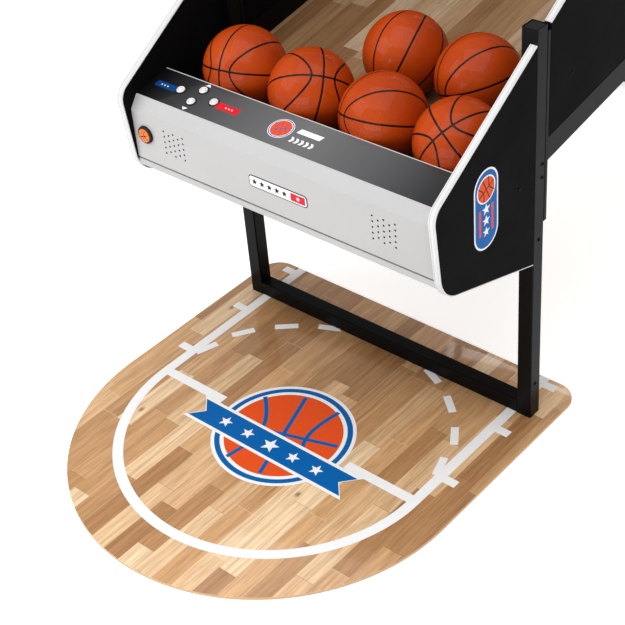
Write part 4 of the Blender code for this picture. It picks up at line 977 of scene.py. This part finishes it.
def ball_mesh(radius):
    """A sphere with channels pressed along its seams, finer where the channels run."""
    bm = bmesh.new()
    bmesh.ops.create_icosphere(bm, subdivisions=6, radius=1.0)
    edges = [edge for edge in bm.edges
             if seam_distance(np.array([v.co for v in edge.verts]), radius).min() < 0.0040]
    bmesh.ops.subdivide_edges(bm, edges=edges, cuts=1, use_grid_fill=True)
    bmesh.ops.triangulate(bm, faces=bm.faces)
    directions = np.array([v.co.normalized() for v in bm.verts])
    away = seam_distance(directions, radius)
    press = 0.0010 * np.clip(1.0 - away / 0.0036, 0.0, 1.0) ** 1.4
    for vert, direction, depth in zip(bm.verts, directions, press):
        vert.co = Vector(direction) * (radius - depth)
    mesh = to_mesh("game_ball", bm)
    seam = mesh.attributes.new("seam_mm", "FLOAT", "POINT")
    seam.data.foreach_set("value", (away * 1000.0).astype(np.float32))
    mesh.materials.append(RUBBER)
    mesh.shade_smooth()
    return mesh


def build_balls():
    low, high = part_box("ball_1")
    radius = (high.z - low.z) / 2
    mesh = ball_mesh(radius)
    out = Vector((0.62, 0.62, 0.48)).normalized()
    on_ball = stand(out * (radius - 0.0006), out.to_track_quat("Z", "Y").to_matrix().to_4x4())
    valve = [(0.0, -0.0010), (0.0036, -0.0010), (0.0036, 0.0002), (0.0028, 0.0006), (0.0012, 0.0007),
             (0.0008, 0.0002), (0.0, 0.0001)]
    for i, turns in enumerate(BALL_TURNS, start=1):
        low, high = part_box(f"ball_{i}")
        ball = add_object(f"game_ball_{i}", mesh)
        ball.location = (low + high) / 2
        ball.rotation_euler = [math.radians(t) for t in turns]
        fit(ball, f"ball_{i}", f"ball_{i}")
        bm = bmesh.new()
        turned(bm, valve, 20, ball.matrix_world @ on_ball)
        piece(f"game_ball_{i}_valve", bm, BLACK_PLASTIC, body=f"ball_{i}")


# ---- hoop and net ----------------------------------------------------------------------------
def spoke(degrees):
    """Level directions outwards and sideways at an angle round the hoop."""
    angle = math.radians(degrees)
    return (Vector((math.cos(angle), math.sin(angle), 0.0)), Vector((-math.sin(angle), math.cos(angle), 0.0)))


def build_rim():
    """Rim rod with a hanging wire loop at each net tie, and weld beads to the bracket."""
    centre = at(0.0, RIM_Y, RIM_Z)
    bm = bmesh.new()
    ring = [centre + Vector((x, y, 0.0)) for x, y in circle((0.0, 0.0), RIM_R, 128)]
    cord(bm, ring, RIM_ROD, 20, looped=True)
    for k in range(TIES):
        out, side = spoke(360 * (k + 0.5) / TIES)
        top = centre + out * (RIM_R - 0.001) - Vector((0.0, 0.0, RIM_ROD - 0.0015))
        half_turn = [math.pi * i / 12 for i in range(13)]
        path = [top + side * (0.009 * math.cos(t)) - Vector((0.0, 0.0, 0.014 * math.sin(t)))
                for t in half_turn]
        cord(bm, path, 0.0018, 10)
    for x in (-0.034, 0.034):
        y = math.sqrt(RIM_R ** 2 - x ** 2)
        for k in range(7):
            spot = centre + Vector((x * (1 - 0.10 * k), y + 0.004 + 0.0005 * k, -RIM_ROD + 0.0012))
            blob(bm, spot, (0.0034, 0.0030, 0.0022))
    piece("hoop_ring", bm, ORANGE_STEEL, stands_for="hoop_rim", slot="steel_orange")


def net_knot(row, k):
    """Place of a knot of the hoop net, which draws in towards its hem and isn't quite regular."""
    share = row / NET_ROWS
    out, _ = spoke(360 * (k + 0.5 + 0.5 * (row % 2)) / TIES)
    wander = 0.0016 * math.sin(5.1 * k + 2.3 * row)
    radius = NET_LOW_R + (NET_TOP_R - NET_LOW_R) * (1.0 - share) ** 1.6 + wander
    top, low = -0.024, 0.004 - NET_DEPTH
    drop = top + (low - top) * share ** 0.92 + 0.5 * wander
    return at(0.0, RIM_Y, RIM_Z) + out * radius + Vector((0.0, 0.0, drop))


def build_hoop_net():
    """Twelve-loop net: a loop over each tie, knotted rows that draw in, and short tails at the hem."""
    centre = at(0.0, RIM_Y, RIM_Z)
    bm = bmesh.new()
    for k in range(TIES):
        tie = net_knot(0, k)
        out, side = spoke(360 * (k + 0.5) / TIES)
        loop = []
        for i in range(16):
            angle = 2 * math.pi * i / 16 + math.pi / 2
            rise = Vector((0.0, 0.0, 0.0040 + 0.0075 * math.sin(angle)))
            loop.append(tie + (side * 0.0042 + out * 0.0016) * math.cos(angle) + rise)
        cord(bm, loop, 0.0017, 8, looped=True)
        blob(bm, tie + Vector((0.0, 0.0, -0.0035)), (0.0046, 0.0046, 0.0052))
    for row in range(NET_ROWS):
        for k in range(TIES):
            start = net_knot(row, k)
            first = k - 1 + row % 2
            for target in (net_knot(row + 1, first), net_knot(row + 1, first + 1)):
                path = []
                for i in range(7):
                    spot = start.lerp(target, i / 6)
                    inward = Vector((centre.x - spot.x, centre.y - spot.y, 0.0)).normalized()
                    path.append(spot + inward * (0.0022 * math.sin(math.pi * i / 6)))
                cord(bm, path, 0.0019, 7)
            size = 0.0046 if row + 1 < NET_ROWS else 0.0050
            blob(bm, net_knot(row + 1, k), (size, size, size * 1.15))
    for k in range(TIES):
        knot = net_knot(NET_ROWS, k)
        sway = Vector((0.0015 * math.sin(3.0 * k), 0.0015 * math.cos(2.0 * k), 0.0))
        for side in (-1, 1):
            cord(bm, [knot, knot + sway + Vector((0.0012 * side, 0.0, -0.003))], 0.0018, 7)
    piece("hoop_netting", bm, NYLON, stands_for="hoop_net", slot="nylon_white")


# ---- side nets -------------------------------------------------------------------------------
def panel_top(y):
    """Height of an upper side panel's top edge behind the knee."""
    return KNEE_Z + (PANEL_REAR_TOP - KNEE_Z) * (y - KNEE_Y) / (REAR_Y - GAP - KNEE_Y)


def build_net_frames():
    """Bent side tubes, each held to its panel by two clamps at the foot."""
    foot = (NET_FRONT_Y, panel_top(NET_FRONT_Y) - 0.140)
    path = [foot, *arc(NET_BEND, NET_BEND_R, 180, 90, 32), (REAR_Y - GAP, NET_TUBE_Z)]
    thick, reach = 0.0012, NET_TUBE_R + 0.0012
    strap_x = NET_TUBE_X - (PANEL_INNER_X - 0.0010)
    half_round = [(-x, y) for x, y in arc((0.0, 0.0), reach, -90, 90, 12)]
    shape = [(-strap_x, -0.026), (-strap_x, -NET_TUBE_R - 0.003), *half_round, (-strap_x, NET_TUBE_R + 0.003),
             (-strap_x, 0.026)]
    for name, side in SIDES:
        bm = bmesh.new()
        cord(bm, [at(side * NET_TUBE_X, y, z) for y, z in path], NET_TUBE_R - 0.0001, 28)
        piece(f"net_tube_{name}", bm, BLACK_STEEL, stands_for=f"net_frame_{name}", slot="steel_black")
        bm = bmesh.new()
        for z in (foot[1] + 0.020, foot[1] + 0.105):
            strap(bm, [at(side * (NET_TUBE_X + x), NET_FRONT_Y + y, z) for x, y in shape], 0.016, thick)
            spots = [at(side * (PANEL_INNER_X - 0.0018), NET_FRONT_Y + y, z) for y in (-0.020, 0.020)]
            screws(bm, spots, TO_SIDE[-side], 0.0036, 0.0018)
        piece(f"net_tube_clamps_{name}", bm, ZINC)


def strap(bm, path, width, thickness):
    """A flat metal strap bent along a path in a level plane."""
    rings = []
    up = Vector((0.0, 0.0, width / 2))
    for i, point in enumerate(path):
        run = (path[min(i + 1, len(path) - 1)] - path[max(i - 1, 0)]).normalized()
        off = Vector((-run.y, run.x, 0.0)) * thickness / 2
        rings.append([bm.verts.new(point + corner) for corner in (off + up, off - up, -off - up, up - off)])
    skin(bm, rings, caps=True)


def edges_of(outline):
    """The edges of a closed outline, as pairs of points."""
    points = [Vector(p) for p in outline]
    return list(zip(points, points[1:] + points[:1]))


def clip_line(origin, direction, outline):
    """The stretch of a straight line inside a convex outline, or None."""
    low, high = -10.0, 10.0
    for a, b in edges_of(outline):
        inward = Vector((a.y - b.y, b.x - a.x))
        slope = inward.dot(direction)
        gap = inward.dot(a - origin)
        if abs(slope) < 1e-9:
            if gap > 0:
                return None
        elif slope > 0:
            low = max(low, gap / slope)
        else:
            high = min(high, gap / slope)
    return (origin + direction * low, origin + direction * high) if high - low > 0.004 else None


def inside(point, outline):
    """Whether a point is well inside a convex outline."""
    return all((b - a).cross(point - a) >= 0.0025 * (b - a).length for a, b in edges_of(outline))


def on_net(side, point, lean=0):
    """Place on a side net, which sags a little, for a point given in (y, z)."""
    y, z = point
    sag = 0.0014 * math.sin(9.0 * y + 4.0 * z) * math.sin(7.0 * z)
    return at(side * (NET_X + sag + 0.0005 * lean), y, z)


def build_side_nets():
    """Knotted diamond netting on a border rope, laced to its frame tube and clipped to the panel."""
    clear = NET_TUBE_R + 0.0050
    front, rear = NET_FRONT_Y + clear, REAR_Y - 0.026
    outline = [(front, panel_top(front) - NET_EDGE_DROP), (rear, panel_top(rear) - NET_EDGE_DROP),
               (rear, NET_TUBE_Z - clear), *arc(NET_BEND, NET_BEND_R - clear, 90, 180, 14)]
    border = [a.lerp(b, k / parts) for a, b in edges_of(outline)
              for parts in [max(1, int((b - a).length / 0.020))] for k in range(parts)]
    pitch = 0.032
    ways = {lean: Vector((1.0, lean * 1.25)).normalized() for lean in (-1, 1)}
    starts = {}
    for lean, way in ways.items():
        step = Vector((-way.y, way.x)) * pitch
        starts[lean] = [Vector((1.25, 1.70)) + step * k for k in range(-60, 61)]
    for name, side in SIDES:
        bm = bmesh.new()
        for lean, way in ways.items():
            for start in starts[lean]:
                found = clip_line(start, way, outline)
                if found:
                    first, last = found
                    count = max(2, int((last - first).length / 0.016))
                    path = [on_net(side, first.lerp(last, i / count), lean) for i in range(count + 1)]
                    cord(bm, path, 0.00095, 5)
        for p in starts[1]:
            for q in starts[-1]:
                knot = p + ways[1] * ((q - p).cross(ways[-1]) / ways[1].cross(ways[-1]))
                if inside(knot, outline):
                    blob(bm, on_net(side, knot), (0.0019, 0.0024, 0.0024), 6, 4)
        cord(bm, [at(side * NET_X, *p) for p in border], 0.0024, 8, looped=True)
        piece(f"side_netting_{name}", bm, BLACK_CORD, stands_for=f"side_net_{name}", slot="cord_black")
        build_lacing(name, side)
        build_clips(name, side)


def build_lacing(name, side):
    """Ties from the border rope round the frame tube."""
    reach, round_tube = NET_TUBE_R + 0.0045, NET_TUBE_R + 0.0012
    ties = [((NET_FRONT_Y, z), (1.0, 0.0)) for z in (1.56, 1.63, 1.70, 1.77)]
    for angle in (160, 135, 110):
        inward = arc((0.0, 0.0), 1.0, angle + 180, angle + 180, 1)[0]
        ties.append((arc(NET_BEND, NET_BEND_R, angle, angle, 1)[0], inward))
    ties += [((y, NET_TUBE_Z), (0.0, -1.0)) for y in (1.10, 1.18, 1.26, 1.34, 1.42, 1.50, 1.56)]
    bm = bmesh.new()
    for (y, z), (dy, dz) in ties:
        loop = []
        for across, along in circle((0.0, 0.0), 1.0, 20):
            out = 0.56 * (reach * (1 + across) + round_tube * (across - 1))
            loop.append(at(side * (NET_TUBE_X + round_tube * along), y + dy * out, z + dz * out))
        cord(bm, loop, 0.0011, 6, looped=True)
        blob(bm, at(side * NET_X, y + dy * reach, z + dz * reach), (0.0030, 0.0034, 0.0034))
    piece(f"net_lacing_{name}", bm, BLACK_CORD)


def build_clips(name, side):
    """Screw clips that hold the border rope along the panel's top edge."""
    clip = [(0.0, 0.0), (0.0062, 0.0), (0.0062, 0.0070), (0.0052, 0.0086), (0.0, 0.0092)]
    bm = bmesh.new()
    for y in [1.000 + 0.085 * k for k in range(7)]:
        spot = at(side * (PANEL_INNER_X - 0.0002), y, panel_top(y) - NET_EDGE_DROP)
        turned(bm, clip, 20, stand(spot, TO_SIDE[-side]))
    piece(f"net_clips_{name}", bm, BLACK_PLASTIC)


# ---- backboard and scoreboard ----------------------------------------------------------------
def build_backboard_print():
    """Border, target square and corner marks printed on the backboard."""
    low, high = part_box("backboard")
    place = stand((0.0, low.y, 0.0), TO_FRONT)
    margin, line, corner = 0.022, 0.016, 0.062
    half, frame_low, frame_high = high.x - margin, low.z + margin, high.z - margin
    film("board_border", ribbon(rect(-half, frame_low, half, frame_high), line, looped=True), place, RED_INK)
    target_low = 1.590 + DATUM.z
    target = rect(-0.150, target_low, 0.150, target_low + 0.215)
    film("board_target", ribbon(target, line, looped=True), place, ORANGE_INK)
    for name, side in SIDES:
        for end, z, toward in (("low", frame_low + 0.020, 1), ("high", frame_high - 0.020, -1)):
            x = side * (half - 0.020)
            mark = [(x, z), (x - side * corner, z), (x, z + toward * corner)]
            film(f"board_corner_{end}_{name}", [ordered(mark)], place, BLUE_INK)


def ordered(points):
    """The points turned so that they run counter-clockwise."""
    area = sum(a[0] * b[1] - b[0] * a[1] for a, b in zip(points, points[1:] + points[:1]))
    return points if area > 0 else points[::-1]


def segments(centre, width, height, stroke):
    """Seven-segment digit as polygons."""
    cx, cy = centre
    left, right, top, low = cx - width / 2, cx + width / 2, cy + height / 2, cy - height / 2
    bars = [((left, y), (right, y)) for y in (top, cy, low)]
    bars += [((x, y), (x, y + height / 2)) for y in (cy, low) for x in (left, right)]
    space = stroke * 0.16
    shapes = []
    for start, end in bars:
        s, e = Vector(start), Vector(end)
        run = (e - s).normalized()
        side = Vector((-run.y, run.x)) * stroke / 2
        s2, e2 = s + run * (stroke / 2 + space), e - run * (stroke / 2 + space)
        shapes.append([s + run * space, s2 - side, e2 - side, e - run * space, e2 + side, s2 + side])
    return [ordered(shape) for shape in shapes]


def build_scoreboard():
    """Digits on the display modules, retainers at the lens's ends and vents in the back."""
    low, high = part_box("scoreboard_housing")
    front_low, front_top = at(0, 1.475, 0).y, at(0, 1.445, 0).y
    middle_z = (low.z + high.z) / 2
    lean = math.atan2(front_low - front_top, high.z - low.z)
    facing = stand((0.0, front_low + 0.003, middle_z), Matrix.Rotation(lean, 4, "X") @ TO_FRONT)
    for label, x in (("score", -0.255), ("clock", 0.0), ("best", 0.255)):
        shapes = [shape for dx in (-0.039, 0.039) for shape in segments((x + dx, 0.0), 0.046, 0.082, 0.0095)]
        film(f"{label}_digits", shapes, facing, SEGMENT, 3)
    foot, head = Vector((0.0, front_low + 0.0028, low.z)), Vector((0.0, front_top + 0.0028, high.z))
    up = (head - foot).normalized() * 0.010
    bm = bmesh.new()
    for x in (0.008 - high.x, high.x - 0.008):
        across = Vector((x, 0.0, 0.0))
        cord(bm, [foot + up + across, head - up + across], 0.0020, 10)
    piece("lens_retainers", bm, BLACK_PLASTIC)
    bm = bmesh.new()
    slot = pill((0.0, 0.0), 0.0028, 0.045, 0.0027, 5)
    for side in (-1, 1):
        for k in range(6):
            place = stand((side * (0.080 + 0.016 * k), high.y - 0.00005, middle_z), TO_REAR)
            prism(bm, slot, place, -0.0010, -0.0001)
    piece("housing_vents", bm, DARK_INK)


# ---- stage, camera and light -----------------------------------------------------------------
def build_stage():
    bm = bmesh.new()
    bmesh.ops.create_grid(bm, x_segments=1, y_segments=1, size=30.0)
    floor = add_object("studio_floor", to_mesh("studio_floor", bm))
    floor.location.z = -0.0004
    look = Look("studio_floor", (0.93, 0.93, 0.93, 1.0), 0.9, Specular_IOR_Level=0.1,
                Emission_Color=(1.0, 1.0, 1.0, 1.0), Emission_Strength=0.50)
    floor.data.materials.append(look.mat)


def build_camera():
    """Long lens from the player's right, looking down on the front of the machine."""
    azimuth, elevation, roll = 43.91, 37.35, -5.43
    data = bpy.data.cameras.new("camera")
    data.sensor_width = 36.0
    data.lens = 84.44
    data.clip_start, data.clip_end = 0.1, 100.0
    camera = add_object("camera", data)
    aim = turn(azimuth, "Z") @ turn(90 - elevation, "X") @ turn(roll, "Z")
    camera.matrix_world = stand(at(1.970, -2.298, 2.451), aim)
    bpy.context.scene.camera = camera


def area_light(name, place, target, size, power):
    data = bpy.data.lights.new(name, "AREA")
    data.shape = "RECTANGLE"
    data.size, data.size_y = size
    data.energy = power
    light = add_object(name, data)
    light.location = place
    light.rotation_euler = (target - place).to_track_quat("-Z", "Y").to_euler()


def build_light():
    world = bpy.data.worlds.new("studio")
    bpy.context.scene.world = world
    world.use_nodes = True
    background = world.node_tree.nodes["Background"]
    background.inputs["Color"].default_value = (1.0, 1.0, 1.0, 1.0)
    background.inputs["Strength"].default_value = 0.44
    focus = at(0.0, 0.0, 0.6)
    area_light("key", at(-2.4, -3.0, 3.2), focus, (2.8, 2.8), 62.0)
    area_light("top", at(0.3, -0.9, 4.2), focus, (4.0, 4.0), 102.0)
    area_light("fill", at(0.9, -4.0, 1.0), at(0.0, -0.1, 0.0), (3.0, 1.4), 38.0)
    area_light("rear", at(-0.6, 4.6, 3.0), at(0.0, 1.3, 1.2), (2.4, 2.0), 50.0)
    bpy.context.scene.view_settings.view_transform = "Standard"


build_stage()
build_camera()
build_light()
dress_frame()
build_floor_board()
build_court_print()
build_mouldings()
build_side_decals()
build_fascia()
build_deck_print()
build_badge()
build_buttons()
build_start_button()
build_fasteners()
build_balls()
build_rim()
build_hoop_net()
build_net_frames()
build_side_nets()
build_backboard_print()
build_scoreboard()
